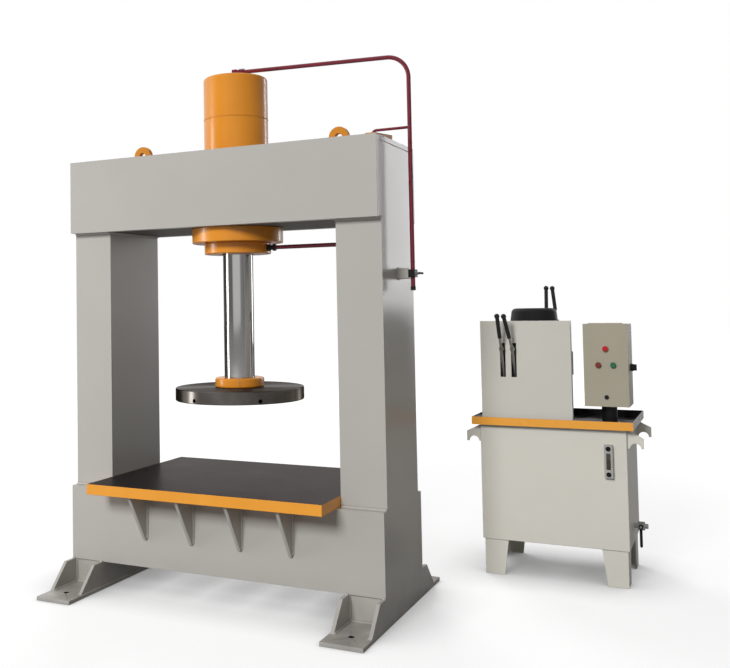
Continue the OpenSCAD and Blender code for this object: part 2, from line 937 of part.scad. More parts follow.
module gland() {
  color(orange)
    difference() {
      union() {
        translate([0, 0, gland_z])
          chamfered_disc(gland_d, gland_h, edge_chamfer);
        translate([0, 0, flange_z - through])
          cylinder(d = cyl_bore - 2 * seat_clear, h = spigot_h + through);
      }
      translate([0, 0, gland_z - through])
        cylinder(d = rod_d + 2 * run_clear, h = gland_h + spigot_h + 2 * through);
      translate([0, 0, gland_z - through])
        cylinder(d = rod_d + 2 * run_clear + 2 * wiper_w, h = wiper_h + through);
      translate([0, 0, gland_z - through])
        ring(bolt_count, gland_bolt_r, bolt_turn) {
          cylinder(d = bolt_d + 2 * run_clear, h = gland_h + 2 * through);
          cylinder(d = bolt_head_d + 2 * run_clear, h = bolt_sink + through);
        }
      translate([port_r, 0, return_z])
        along_x(port_d, gland_d / 2 - port_r + through);
      translate([port_r, 0, return_z])
        cylinder(d = port_d, h = chamber_z - return_z + through);
    }
}

module rod_wiper() {
  color(dark)
    translate([0, 0, gland_z])
      difference() {
        cylinder(d = rod_d + 2 * run_clear + 2 * wiper_w - 2 * seat_clear, h = wiper_h);
        translate([0, 0, -through])
          cylinder(d = rod_d + 2 * run_clear, h = wiper_h + 2 * through);
      }
}

// A socket-head bolt, head down, its head's lower face at z = 0
module socket_bolt(d, l, head_d, head_h) {
  socket_share = 0.8;
  difference() {
    cylinder(d = head_d, h = head_h);
    translate([0, 0, -through])
      hex_bar(d * socket_share, head_h / 2 + through);
  }
  translate([0, 0, head_h])
    cylinder(d = d, h = l);
}

module cylinder_bolts() {
  color(dark) {
    translate([0, 0, gland_z + bolt_sink - bolt_head_h])
      ring(bolt_count, gland_bolt_r, bolt_turn)
        socket_bolt(bolt_d, bolt_l, bolt_head_d, bolt_head_h);
    translate([0, 0, flange_z + bolt_sink - bolt_head_h])
      ring(bolt_count, flange_bolt_r, bolt_turn)
        socket_bolt(bolt_d, bolt_l, bolt_head_d, bolt_head_h);
  }
}

// Ram: piston, rod, split collar and press disc
module piston() {
  color(steel)
    difference() {
      translate([0, 0, piston_z])
        chamfered_disc(cyl_bore - 2 * run_clear, piston_l, edge_chamfer);
      translate([0, 0, piston_z - through])
        cylinder(d = rod_spigot_d + 2 * seat_clear, h = piston_l + 2 * through);
      for (z = seal_z)
        translate([0, 0, z])
          difference() {
            cylinder(d = cyl_bore + 2 * through, h = seal_h);
            translate([0, 0, -through])
              cylinder(d = cyl_bore - 2 * run_clear - 2 * seal_depth, h = seal_h + 2 * through);
          }
    }
}

module piston_seals() {
  color(dark)
    for (z = seal_z)
      translate([0, 0, z + seat_clear])
        difference() {
          cylinder(d = cyl_bore - 2 * run_clear, h = seal_h - 2 * seat_clear);
          translate([0, 0, -through])
            cylinder(d = cyl_bore - 2 * run_clear - 2 * seal_depth + 2 * seat_clear,
                     h = seal_h + 2 * through);
        }
}

module ram_rod() {
  color(steel)
    difference() {
      union() {
        translate([0, 0, rod_z])
          cylinder(d = rod_d, h = rod_l);
        translate([0, 0, piston_z - through])
          cylinder(d = rod_spigot_d, h = piston_l + through);
      }
      translate([0, 0, neck_z - seat_clear])
        difference() {
          cylinder(d = rod_d + 2 * through, h = collar_lip_h + 2 * seat_clear);
          translate([0, 0, -through])
            cylinder(d = rod_neck_d, h = collar_lip_h + 2 * seat_clear + 2 * through);
        }
    }
}

module collar_ring() {
  difference() {
    rotate_extrude() {
      square([collar_d / 2 - collar_round, collar_h]);
      translate([0, collar_round])
        square([collar_d / 2, collar_h - 2 * collar_round]);
      for (z = [collar_round, collar_h - collar_round])
        translate([collar_d / 2 - collar_round, z])
          circle(r = collar_round);
    }
    translate([0, 0, -through])
      cylinder(d = rod_neck_d + 2 * seat_clear, h = collar_h + 2 * through);
    translate([0, 0, -through])
      cylinder(d = rod_d + 2 * seat_clear, h = neck_z - disc_top + through);
    translate([0, 0, neck_z - disc_top + collar_lip_h])
      cylinder(d = rod_d + 2 * seat_clear, h = collar_h);
    ring(collar_bolt_count, collar_bolt_r, collar_bolt_turn)
      translate([0, 0, -through])
        cylinder(d = collar_bolt_d + 2 * run_clear, h = collar_h + 2 * through);
    ring(collar_bolt_count, collar_bolt_r, collar_bolt_turn)
      translate([0, 0, collar_h - collar_bolt_d])
        cylinder(d = collar_head_d + 2 * run_clear, h = collar_bolt_d + through);
  }
}

module collar_half(side) {
  translate([0, 0, disc_top])
    rotate([0, 0, collar_turn])
      intersection() {
        collar_ring();
        translate([-collar_d, side > 0 ? collar_split / 2 : -collar_d - collar_split / 2, -through])
          cube([2 * collar_d, collar_d, collar_h + 2 * through]);
      }
}

module collar_left() {
  color(orange)
    collar_half(-1);
}

module collar_right() {
  color(orange)
    collar_half(1);
}

module collar_bolts() {
  color(dark)
    translate([0, 0, disc_top + collar_h])
      rotate([0, 0, collar_turn])
        ring(collar_bolt_count, collar_bolt_r, collar_bolt_turn)
          mirror([0, 0, 1])
            socket_bolt(collar_bolt_d, collar_h + disc_seat / 2 - collar_bolt_d, collar_head_d, collar_bolt_d);
}

module press_disc() {
  color(steel)
    difference() {
      translate([0, 0, disc_z])
        chamfered_disc(disc_d, disc_t, disc_chamfer);
      translate([0, 0, rod_z])
        cylinder(d = rod_d + 2 * seat_clear, h = disc_seat + through);
      translate([0, 0, disc_top - disc_seat / 2])
        rotate([0, 0, collar_turn])
          ring(collar_bolt_count, collar_bolt_r, collar_bolt_turn)
            cylinder(d = collar_bolt_d + 2 * seat_clear, h = disc_seat / 2 + through);
      translate([0, 0, disc_z + disc_hole_rise])
        ring(disc_hole_count, disc_d / 2 - disc_hole_depth, disc_hole_turn)
          along_x(disc_hole_d, disc_hole_depth + through);
    }
}

// Pipes: steel tube from the cap down the right upright, and from the gland to the rear
module cap_elbow() {
  color(dark) {
    translate([0, 0, cap_top])
      hex_bar(nut_flats, pipe_rise / 2);
    block([-elbow_w / 2, -elbow_w / 2, cap_top], [elbow_w / 2, elbow_w / 2, pipe_start_z + elbow_w / 2]);
    translate([0, 0, pipe_start_z])
      rotate([0, pipe_tilt, 0]) {
        along_x(fitting_d, elbow_reach);
        translate([elbow_reach - nut_l, 0, 0])
          rotate([0, 90, 0])
            hex_bar(nut_flats, nut_l);
      }
  }
}

module pressure_course(d) {
  rotate([90, 0, 0]) {
    translate([0, pipe_start_z, 0])
      rotate([0, 0, -pipe_tilt])
        translate([elbow_reach, 0, 0])
          along_x(d + 2 * pipe_step, pipe_run_l + pipe_lap);
    translate([pipe_x - pipe_bend_r, pipe_bend_z, 0])
      rotate_extrude(angle = 90 - pipe_tilt)
        translate([pipe_bend_r, 0])
          circle(d = d);
    translate([pipe_x, pipe_end_z, 0])
      along_y(d, pipe_bend_z - pipe_end_z);
  }
}

module pressure_pipe() {
  color(maroon)
    difference() {
      pressure_course(pipe_d);
      pressure_course(pipe_bore);
    }
}

module gland_fitting() {
  color(dark)
    difference() {
      translate([gland_d / 2 - edge_chamfer, 0, return_z]) {
        along_x(fitting_d, fitting_l + edge_chamfer);
        rotate([0, 90, 0])
          hex_bar(nut_flats, fitting_hex_l + edge_chamfer);
        translate([fitting_l + edge_chamfer - fitting_hex_l, 0, 0])
          rotate([0, 90, 0])
            hex_bar(nut_flats, fitting_hex_l);
      }
      cylinder(d = gland_d + 2 * seat_clear, h = beam_top);
    }
}

module return_course(d) {
  translate([0, 0, return_z]) {
    translate([return_start, 0, 0])
      along_x(d, return_x - return_bend_r - return_start);
    translate([return_x - return_bend_r, return_bend_r, 0])
      rotate([0, 0, -90])
        rotate_extrude(angle = 90)
          translate([return_bend_r, 0])
            circle(d = d);
    translate([return_x, return_bend_r, 0])
      along_y(d, return_reach - return_bend_r);
  }
}

module return_pipe() {
  color(maroon)
    difference() {
      return_course(pipe_d);
      return_course(pipe_bore);
    }
}

// A push-on cap that closes a pipe's end at z = 0, with the pipe above it
module end_cap() {
  difference() {
    translate([0, 0, -end_cap_t])
      cylinder(d = pipe_d + 2 * end_cap_t, h = end_cap_l);
    cylinder(d = pipe_d + 2 * seat_clear, h = end_cap_l);
  }
}

module pipe_caps() {
  color(dark) {
    translate([pipe_x, 0, pipe_end_z])
      end_cap();
    translate([return_x, return_reach, return_z])
      rotate([90, 0, 0])
        end_cap();
  }
}

module pipe_clips() {
  color(dark)
    at_clips()
      difference() {
        block([-clip_t / 2, -clip_w / 2, -clip_h / 2], [clip_t / 2, clip_w / 2, clip_h / 2]);
        translate([0, 0, -clip_h])
          cylinder(d = pipe_d + 2 * seat_clear, h = 2 * clip_h);
      }
}

// Stay: a bent rod that holds the pressure pipe off the beam's top
module stay_rod() {
  stay_x = half_w - stay_inset;
  stay_z = beam_top + stay_rise;
  color(maroon)
    difference() {
      rotate([90, 0, 0]) {
        translate([stay_x, beam_top, 0])
          along_y(stay_d, stay_rise - stay_bend_r);
        translate([stay_x + stay_bend_r, stay_z - stay_bend_r, 0])
          rotate([0, 0, 90])
            rotate_extrude(angle = 90)
              translate([stay_bend_r, 0])
                circle(d = stay_d);
        translate([stay_x + stay_bend_r, stay_z, 0])
          along_x(stay_d, pipe_x - stay_x - stay_bend_r);
      }
      translate([pipe_x, 0, beam_top])
        cylinder(d = pipe_d + 2 * seat_clear, h = 2 * stay_rise);
    }
}

// A sloping cleat welded across the right end of the beam's top
module beam_cleat() {
  color(orange)
    translate([half_w - cleat_inset - cleat_t / 2, -cheek_y + cleat_inset, beam_top])
      side_sheet(cleat_t)
        polygon([[0, 0], [cleat_l, 0], [cleat_l, cleat_h], [0, cleat_nose]]);
}

// Tank: a welded sheet box, closed by the drip tray, on four folded legs
module tank() {
  color(cream)
    difference() {
      block([tank_x, unit_y, leg_h], [tank_right, tank_rear, tank_top]);
      block([tank_x + tank_wall, unit_y + tank_wall, leg_h + tank_wall],
            [tank_right - tank_wall, tank_rear - tank_wall, tank_top + through]);
    }
}

module leg_sheet() {
  upright_sheet(leg_t)
    polygon([[0, leg_h], [leg_top, leg_h], [leg_foot, 0], [0, 0]]);
}

module leg() {
  translate([0, leg_t / 2, 0])
    leg_sheet();
  mirror([1, -1, 0])
    translate([0, leg_t / 2, 0])
      leg_sheet();
}

module tank_legs() {
  color(cream)
    for (x_side = [0, 1])
      for (y_side = [0, 1])
        translate([unit_x, unit_y + tank_d / 2, 0])
          mirror([x_side, 0, 0])
            mirror([0, y_side, 0])
              translate([-tank_w / 2 + leg_inset, -tank_d / 2 + leg_inset, 0])
                leg();
}

module drip_tray() {
  color(dark)
    difference() {
      block([tank_x - tray_over, unit_y - tray_over, tank_top],
            [tank_right + tray_over, tank_rear + tray_over, tank_top + tray_rim]);
      block([tank_x - tray_over + tray_t, unit_y - tray_over + tray_t, tray_floor],
            [tank_right + tray_over - tray_t, tank_rear + tray_over - tray_t, tank_top + tray_rim + through]);
      translate([motor_x, motor_y, tank_top - through])
        cylinder(d = bell_bore, h = tray_t + 2 * through);
    }
}

// A lifting ear: a plate with a sloping top and a round notch underneath
module ear() {
  lip = (ear_l - 2 * ear_notch_r) / 2;
  upright_sheet(ear_t)
    difference() {
      polygon([[0, 0], [ear_l, 0], [ear_l, ear_tip], [0, ear_h]]);
      translate([lip + ear_notch_r, 0])
        circle(r = ear_notch_r);
    }
}

module tank_ears() {
  color(cream)
    for (side = [0, 1])
      for (y = [unit_y + ear_inset, tank_rear - ear_inset])
        translate([unit_x, y, tank_top - ear_h - tray_t])
          mirror([side, 0, 0])
            translate([tank_w / 2, 0, 0])
              ear();
}

// Motor guard: one sheet in front of the motor, folded back along its sides, with slots for the levers
module motor_guard() {
  color(cream)
    difference() {
      block([guard_x, guard_y, tray_floor],
            [guard_x + guard_w, guard_y + guard_return, tray_floor + guard_h]);
      block([guard_x + guard_t, guard_y + guard_t, tray_floor - through],
            [guard_x + guard_w - guard_t, guard_y + guard_return + through, tray_floor + guard_h + through]);
      for (side = [-1, 1])
        translate([front_valve_x + side * lever_pitch / 2, guard_y, tray_floor + slot_rise])
          block([-slot_w / 2, -through, 0], [slot_w / 2, guard_t + through, slot_h]);
    }
}

// Motor: a finned body on a foot flange, with its terminal box, fan cover and rotor
module motor_body() {
  body_z = tray_floor + motor_flange_t;
  shield_h = 26;
  fin_out = motor_d / 2;
  terminal_x = guard_w / 2 - guard_t - terminal_clear;
  terminal_d = 90;
  terminal_h = 110;
  color(dark)
    translate([motor_x, motor_y, 0])
      difference() {
        union() {
          translate([0, 0, tray_floor])
            cylinder(d = motor_flange_d, h = motor_flange_t);
          translate([0, 0, body_z])
            cylinder(d = motor_core_d, h = motor_h);
          for (z = [body_z, body_z + motor_h - shield_h])
            translate([0, 0, z])
              cylinder(d = fan_cover_d, h = shield_h);
          for (i = [0 : fin_count - 1])
            rotate([0, 0, (i + 0.5) * 360 / fin_count])
              block([motor_core_d / 4, -fin_t / 2, body_z + shield_h],
                    [fin_out, fin_t / 2, body_z + motor_h - shield_h]);
          block([0, -terminal_d / 2, body_z + motor_h / 2],
                [terminal_x, terminal_d / 2, body_z + motor_h / 2 + terminal_h]);
        }
        translate([0, 0, tray_floor - through])
          cylinder(d = shaft_d + 2 * run_clear, h = motor_flange_t + motor_h + 2 * through);
      }
}

module fan_cover_profile(d, h, r) {
  top_r = d / 2 - fan_cover_draft;
  polygon([[0, 0], [d / 2, 0], [top_r, h - r], [top_r - r, h], [0, h]]);
  translate([top_r - r, h - r])
    circle(r = r);
}

module fan_cover() {
  slot_in = 30;
  slot_margin = 4;
  slot_out = fan_cover_d / 2 - fan_cover_draft - fan_cover_round - slot_margin;
  color(dark)
    translate([motor_x, motor_y, fan_cover_z])
      difference() {
        rotate_extrude()
          fan_cover_profile(fan_cover_d, fan_cover_h, fan_cover_round);
        translate([0, 0, -through])
          rotate_extrude()
            fan_cover_profile(fan_cover_d - 2 * fan_cover_t, fan_cover_h - fan_cover_t + through,
                              fan_cover_round - fan_cover_t);
        ring(fan_slots, 0, 0)
          block([slot_in, -fan_slot_w / 2, 0], [slot_out, fan_slot_w / 2, fan_cover_h + through]);
      }
}

module motor_rotor() {
  shaft_z = tank_top - bell_h - pump_h / 3;
  fan_plate_t = 4;
  blade_t = 4;
  hub_d = 2 * shaft_d;
  color(steel)
    translate([motor_x, motor_y, 0]) {
      translate([0, 0, shaft_z])
        cylinder(d = shaft_d, h = fan_z + fan_h / 2 - shaft_z);
      translate([0, 0, tank_top - bell_h + (bell_h - coupling_h) / 2])
        cylinder(d = coupling_d, h = coupling_h);
      translate([0, 0, fan_z])
        cylinder(d = hub_d, h = fan_h);
      translate([0, 0, fan_z])
        cylinder(d = fan_d, h = fan_plate_t);
      ring(fan_blades, hub_d / 2 - blade_t, 0)
        block([0, -blade_t / 2, fan_z], [(fan_d - hub_d) / 2, blade_t / 2, fan_z + fan_h - blade_t]);
    }
}

// Pump: a gear pump hung under the tray in a bell housing, with its suction pipe and strainer
module pump() {
  bell_z = tank_top - bell_h;
  pump_z = bell_z - pump_h;
  strainer_z = leg_h + tank_wall + strainer_clear;
  strainer_h = 110;
  bell_floor = 12;
  color(dark)
    translate([motor_x, motor_y, 0])
      difference() {
        union() {
          translate([0, 0, bell_z])
            cylinder(d = bell_d, h = bell_h);
          block([-pump_w / 2, -pump_d / 2, pump_z], [pump_w / 2, pump_d / 2, bell_z]);
          translate([0, 0, strainer_z])
            cylinder(d = strainer_d / 2, h = pump_z - strainer_z);
          translate([0, 0, strainer_z])
            cylinder(d = strainer_d, h = strainer_h);
        }
        translate([0, 0, bell_z + bell_floor])
          cylinder(d = bell_bore, h = bell_h);
        translate([0, 0, bell_z - pump_h / 2])
          cylinder(d = shaft_d + 2 * run_clear, h = bell_h);
      }
}

// Valves: two-lever blocks on pedestals. A valve faces -Y, and its lever pivot lies at the origin.
module valve(rise) {
  block_z = -pivot_rise;
  union() {
    block([-valve_w / 2, pivot_out, block_z], [valve_w / 2, pivot_out + valve_d, block_z + valve_h]);
    block([-valve_w / 3, pivot_out + pedestal_in, -rise],
          [valve_w / 3, pivot_out + valve_d - pedestal_in, block_z]);
    for (lever = [-1, 1])
      translate([lever * lever_pitch / 2, 0, 0]) {
        for (side = [-1, 1])
          translate([side * (eye_w / 2 + eye_gap + pivot_ear_t / 2), 0, 0])
            side_sheet(pivot_ear_t) {
              circle(d = eye_d);
              translate([0, -eye_d / 2])
                square([pivot_out, eye_d]);
            }
        translate([-eye_w / 2 - eye_gap - pivot_ear_t, 0, 0])
          along_x(pivot_pin_d, eye_w + 2 * eye_gap + 2 * pivot_ear_t);
      }
  }
}

module front_valve() {
  color(steel)
    translate([front_valve_x, front_pivot_y, front_pivot_z])
      valve(front_pivot_rise);
}

module rear_valve() {
  color(steel)
    translate([rear_valve_x, rear_pivot_y, rear_pivot_z])
      rotate([0, 0, 180])
        valve(rear_pivot_rise);
}

// A lever on its pivot: an eye, a rod, a lock nut, and above it the rod's end with its grip and knob
module lever(lean, set_over) {
  difference() {
    rotate([lean, 0, 0]) {
      translate([-eye_w / 2, 0, 0])
        along_x(eye_d, eye_w);
      cylinder(d = lever_d, h = lever_low);
      translate([0, 0, lever_low - lever_nut_h])
        hex_bar(lever_nut_flats, lever_nut_h + lever_d / 2);
      translate([0, 0, lever_low])
        rotate([0, -set_over, 0]) {
          cylinder(d = lever_d, h = lever_high);
          translate([0, 0, lever_high - grip_l])
            cylinder(d = grip_d, h = grip_l);
          translate([0, 0, lever_high])
            sphere(d = knob_d);
        }
    }
    translate([-eye_w, 0, 0])
      along_x(pivot_pin_d + 2 * run_clear, 2 * eye_w);
  }
}

module front_left_lever() {
  color(dark)
    translate([front_valve_x - lever_pitch / 2, front_pivot_y, front_pivot_z])
      lever(front_lean, 0);
}

module front_right_lever() {
  color(dark)
    translate([front_valve_x + lever_pitch / 2, front_pivot_y, front_pivot_z])
      lever(front_lean, front_set);
}

module rear_left_lever() {
  color(dark)
    translate([rear_valve_x - lever_pitch / 2, rear_pivot_y, rear_pivot_z])
      lever(-rear_lean, 0);
}

module rear_right_lever() {
  color(dark)
    translate([rear_valve_x + lever_pitch / 2, rear_pivot_y, rear_pivot_z])
      lever(-rear_lean, rear_set);
}

// Control box: a sheet box, open at the front, with a door that is hinged along its top edge
module control_box() {
  knuckle_x = knuckle_l / 2 + door_gap;
  color(beige)
    translate([box_x, 0, 0])
      difference() {
        union() {
          difference() {
            block([-box_w / 2, box_y, box_z], [box_w / 2, box_y + box_d, box_top]);
            block([-box_w / 2 + box_t, box_y - through, box_z + box_t],
                  [box_w / 2 - box_t, box_y + box_d - box_t, box_top - box_t]);
          }
          for (side = [0, 1])
            mirror([side, 0, 0])
              translate([knuckle_x, hinge_y, hinge_z]) {
                along_x(2 * hinge_r, box_knuckle_l);
                block([0, -hinge_r / 2, box_top - hinge_z], [box_knuckle_l, hinge_r / 2, 0]);
              }
          translate([-knuckle_x, hinge_y, hinge_z])
            along_x(2 * hinge_pin_r, 2 * knuckle_x);
        }
        translate([box_w / 2 - box_t - through, switch_y, switch_z])
          along_x(switch_d / 2 + 2 * run_clear, box_t + 2 * through);
      }
}

module door_hole(x, z, d) {
  translate([x, door_front - bezel_h - through, z])
    along_y(d, box_t + bezel_h + 2 * through);
}

module bezel(x, z) {
  translate([x, door_front - bezel_h, z])
    along_y(button_d + 2 * bezel_w, bezel_h);
}

module control_door() {
  color(beige)
    translate([box_x, 0, 0])
      difference() {
        union() {
          block([-box_w / 2, door_front, box_z], [box_w / 2, door_front + box_t, hinge_z]);
          block([-box_w / 2, door_front, hinge_z - box_t],
                [box_w / 2, hinge_y - hinge_r - door_gap, hinge_z]);
          block([-knuckle_l / 2, door_front, hinge_z - box_t], [knuckle_l / 2, hinge_y, hinge_z]);
          translate([-knuckle_l / 2, hinge_y, hinge_z])
            along_x(2 * hinge_r, knuckle_l);
          for (side = [-1, 1])
            bezel(side * button_pitch / 2, button_z);
          bezel(0, lamp_z);
        }
        translate([-knuckle_l, hinge_y, hinge_z])
          along_x(2 * hinge_pin_r + 2 * run_clear, 2 * knuckle_l);
        for (side = [-1, 1])
          door_hole(side * button_pitch / 2, button_z, button_d + 2 * run_clear);
        door_hole(0, lamp_z, button_d + 2 * seat_clear);
        door_hole(0, lock_z, lock_d + 2 * run_clear);
      }
}

// A push button or lamp, seen from the front, with its front edge rounded
module button_at(x, z) {
  edge = 3;
  translate([box_x + x, door_front - button_out, z])
    rotate([-90, 0, 0])
      rotate_extrude() {
        square([button_d / 2 - edge, button_out + box_t + button_in]);
        translate([0, edge])
          square([button_d / 2, button_out + box_t + button_in - edge]);
        intersection() {
          translate([button_d / 2 - edge, edge])
            circle(r = edge);
          square([button_d / 2, edge]);
        }
      }
}

module power_lamp() {
  color("red")
    button_at(0, lamp_z);
}

module stop_button() {
  color("firebrick")
    button_at(-button_pitch / 2, button_z);
}

module start_button() {
  color("green")
    button_at(button_pitch / 2, button_z);
}

module door_lock() {
  lock_out = 4;
  lock_in = 14;
  cam_t = 3;
  key_w = 2.5;
  color(dark)
    translate([box_x, door_front - lock_out, lock_z])
      difference() {
        union() {
          along_y(lock_d, lock_out + box_t + lock_in);
          translate([0, lock_out + box_t + lock_in - cam_t, -lock_d / 4])
            cube([cam_l, cam_t, lock_d / 2]);
        }
        block([-key_w / 2, -through, -lock_d / 4], [key_w / 2, lock_out, lock_d / 4]);
      }
}

// Main switch: a ribbed knob on the box's right side
module main_switch() {
  rib_w = 8;
  rib_l = switch_d - 2 * switch_rib_in;
  stem_in = 12;
  color(dark)
    translate([box_x + box_w / 2, switch_y, switch_z]) {
      translate([-box_t - stem_in, 0, 0])
        along_x(switch_d / 2, box_t + stem_in + switch_l / 2);
      translate([run_clear, 0, 0])
        along_x(switch_d, switch_l / 2);
      block([switch_l / 2, -rib_w / 2, -rib_l / 2], [switch_l, rib_w / 2, rib_l / 2]);
    }
}

module box_post() {
  color(dark)
    translate([box_x, box_y + box_d / 2, tray_floor]) {
      cylinder(d = post_d, h = post_h);
      cylinder(d = post_foot_d, h = post_foot_t);
    }
}

// Level gauge: a frame with a sunk window, on the tank's front
module level_gauge() {
  window_in = 8;
  color("silver")
    translate([gauge_x, unit_y, gauge_z])
      difference() {
        block([-gauge_w / 2, -gauge_d, 0], [gauge_w / 2, 0, gauge_h]);
        translate([0, 0, gauge_h / 2])
          block([-window_w / 2, -gauge_d - through, -window_h / 2],
                [window_w / 2, -gauge_d + window_in, window_h / 2]);
      }
}

// Drain: a ball valve on the tank's right side, with a lever that hangs down when it is shut
module drain_valve() {
  drain_l = drain_body_l + 2 * drain_end_l;
  color("silver")
    difference() {
      union() {
        translate([tank_right, drain_y, drain_z])
          along_x(drain_pipe_d, drain_l);
        translate([tank_right + drain_end_l, drain_y, drain_z])
          rotate([0, 90, 0])
            hex_bar(drain_flats, drain_body_l);
        translate([drain_x, drain_lever_y - drain_stem_end, drain_z])
          along_y(drain_stem_d, drain_y - drain_lever_y);
      }
      translate([tank_right + drain_end_l + drain_body_l, drain_y, drain_z])
        along_x(drain_pipe_d - 2 * drain_pipe_wall, drain_end_l + through);
    }
}

module drain_lever() {
  color(dark)
    translate([drain_x, drain_lever_y + drain_lever_t / 2, drain_z])
      upright_sheet(drain_lever_t)
        difference() {
          union() {
            circle(d = drain_eye_d);
            translate([-drain_lever_w / 2, -drain_lever_l + drain_lever_w / 2])
              square([drain_lever_w, drain_lever_l - drain_lever_w / 2]);
            translate([0, -drain_lever_l + drain_lever_w / 2])
              circle(d = drain_lever_w);
          }
          circle(d = drain_stem_d + 2 * run_clear);
        }
}

left_upright();
right_upright();
left_foot();
right_foot();
base_front_plate();
base_rear_plate();
base_diaphragms();
beam_front_plate();
beam_rear_plate();
beam_top_plate();
beam_bottom_plate();
table_plate();
table_gussets();
lifting_lugs();
cylinder_barrel();
cylinder_cap();
gland();
rod_wiper();
cylinder_bolts();
piston();
piston_seals();
ram_rod();
collar_left();
collar_right();
collar_bolts();
press_disc();
cap_elbow();
pressure_pipe();
gland_fitting();
return_pipe();
pipe_caps();
pipe_clips();
stay_rod();
beam_cleat();
tank();
tank_legs();
drip_tray();
tank_ears();
motor_guard();
motor_body();
fan_cover();
motor_rotor();
pump();
front_valve();
rear_valve();
front_left_lever();
front_right_lever();
rear_left_lever();
rear_right_lever();
control_box();
control_door();
power_lamp();
stop_button();
start_button();
door_lock();
main_switch();
box_post();
level_gauge();
drain_valve();
drain_lever();
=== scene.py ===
import json
import math
import random

import bmesh
import bpy
from mathutils import Matrix, Vector


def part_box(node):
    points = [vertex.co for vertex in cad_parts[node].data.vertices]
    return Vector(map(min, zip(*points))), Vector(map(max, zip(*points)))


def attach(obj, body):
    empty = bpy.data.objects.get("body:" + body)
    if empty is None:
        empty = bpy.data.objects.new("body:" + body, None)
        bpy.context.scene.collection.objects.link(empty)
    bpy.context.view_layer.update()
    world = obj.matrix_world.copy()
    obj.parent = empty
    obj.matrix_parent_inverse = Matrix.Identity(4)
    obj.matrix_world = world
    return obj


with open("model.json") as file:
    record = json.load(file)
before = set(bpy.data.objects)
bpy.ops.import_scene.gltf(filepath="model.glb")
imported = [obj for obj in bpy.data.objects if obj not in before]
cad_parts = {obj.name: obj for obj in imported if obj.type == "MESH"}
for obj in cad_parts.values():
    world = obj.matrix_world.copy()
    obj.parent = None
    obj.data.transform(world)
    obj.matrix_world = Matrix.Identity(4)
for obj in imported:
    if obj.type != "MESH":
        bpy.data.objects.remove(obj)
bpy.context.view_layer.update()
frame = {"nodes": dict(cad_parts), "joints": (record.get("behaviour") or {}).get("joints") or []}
scene = bpy.context.scene
scene.view_settings.view_transform = "Standard"

# Camera: at chest height in front of the press and to its right, as the photograph was taken. The photograph is
# cropped off-centre, which the lens shift repeats.
eye = Vector((2.0018, -3.7885, 1.2732))
turn, tilt, lean = (math.radians(angle) for angle in (27.1389, 2.4818, -0.8797))
ahead = Vector((-math.sin(turn) * math.cos(tilt), math.cos(turn) * math.cos(tilt), math.sin(tilt)))
level = Vector((math.cos(turn), math.sin(turn), 0.0))
above = level.cross(ahead)
across = level * math.cos(lean) + above * math.sin(lean)
upward = above * math.cos(lean) - level * math.sin(lean)
lens = bpy.data.cameras.new("camera")
lens.sensor_width = 36.0
lens.lens = 46.97
lens.shift_x = 0.15767
lens.shift_y = -0.09956
camera = bpy.data.objects.new("camera", lens)
camera.matrix_world = Matrix.Translation(eye) @ Matrix((across, upward, -ahead)).transposed().to_4x4()
scene.collection.objects.link(camera)
scene.camera = camera


# Surround: the white studio round the machine, whose soft light comes evenly from all sides. Gloss shows a room that is
# white on the machine's left and falls off to dark grey on its right, with a dark stretch in front on the left and a
# paler one behind the camera.
def linear(code):
    """A colour written as sRGB hex, as linear red, green, blue and alpha."""
    parts = [int(code[i:i + 2], 16) / 255 for i in (1, 3, 5)]
    return tuple(c / 12.92 if c <= 0.04045 else ((c + 0.055) / 1.055) ** 2.4 for c in parts) + (1.0,)


def add(tree, kind, inputs=None, **settings):
    """Adds a shader node with its settings. An input that is given a socket is linked to it."""
    made = tree.nodes.new("ShaderNode" + kind)
    for name, value in settings.items():
        setattr(made, name, value)
    for name, value in (inputs or {}).items():
        if isinstance(value, bpy.types.NodeSocket):
            tree.links.new(value, made.inputs[name])
        else:
            made.inputs[name].default_value = value
    return made


def toward(bearing):
    """A level direction, from its bearing in degrees."""
    angle = math.radians(bearing)
    return math.cos(angle), math.sin(angle), 0.0


soft_light = 0.2
white_bearing, grey_end = 175, 0.2
# Each stretch of the room: its bearing and its half width in degrees, and how bright it is.
stretches = ((235, 24, 0.17), (288, 30, 0.66))
surround = bpy.data.worlds.new("studio_surround")
surround.use_nodes = True
tree = surround.node_tree
tree.nodes.clear()
path = add(tree, "LightPath").outputs
look = add(tree, "TexCoord").outputs["Generated"]
whiteness = add(tree, "VectorMath", {0: look, 1: toward(white_bearing)}, operation="DOT_PRODUCT")
room = add(tree, "MapRange", {"Value": whiteness.outputs["Value"], "From Min": -1.0, "From Max": 1.0,
                              "To Min": grey_end, "To Max": 1.0}).outputs[0]
for bearing, half_width, brightness in stretches:
    nearness = add(tree, "VectorMath", {0: look, 1: toward(bearing)}, operation="DOT_PRODUCT")
    share = add(tree, "MapRange", {"Value": nearness.outputs["Value"], "From Min": math.cos(math.radians(half_width)),
                                   "From Max": math.cos(math.radians(half_width / 2))},
                interpolation_type="SMOOTHSTEP")
    room = add(tree, "MapRange", {"Value": share.outputs[0], "To Min": room, "To Max": brightness}).outputs[0]
in_gloss = add(tree, "MapRange", {"Value": path["Is Glossy Ray"], "To Min": soft_light, "To Max": room})
straight = add(tree, "Math", {0: path["Is Camera Ray"], 1: path["Is Transmission Ray"]}, operation="MAXIMUM")
strength = add(tree, "MapRange", {"Value": straight.outputs[0], "To Min": in_gloss.outputs[0], "To Max": 1.0})
shell = add(tree, "Background", {"Color": linear("#ffffff"), "Strength": strength.outputs[0]})
add(tree, "OutputWorld", {"Surface": shell.outputs[0]})
scene.world = surround


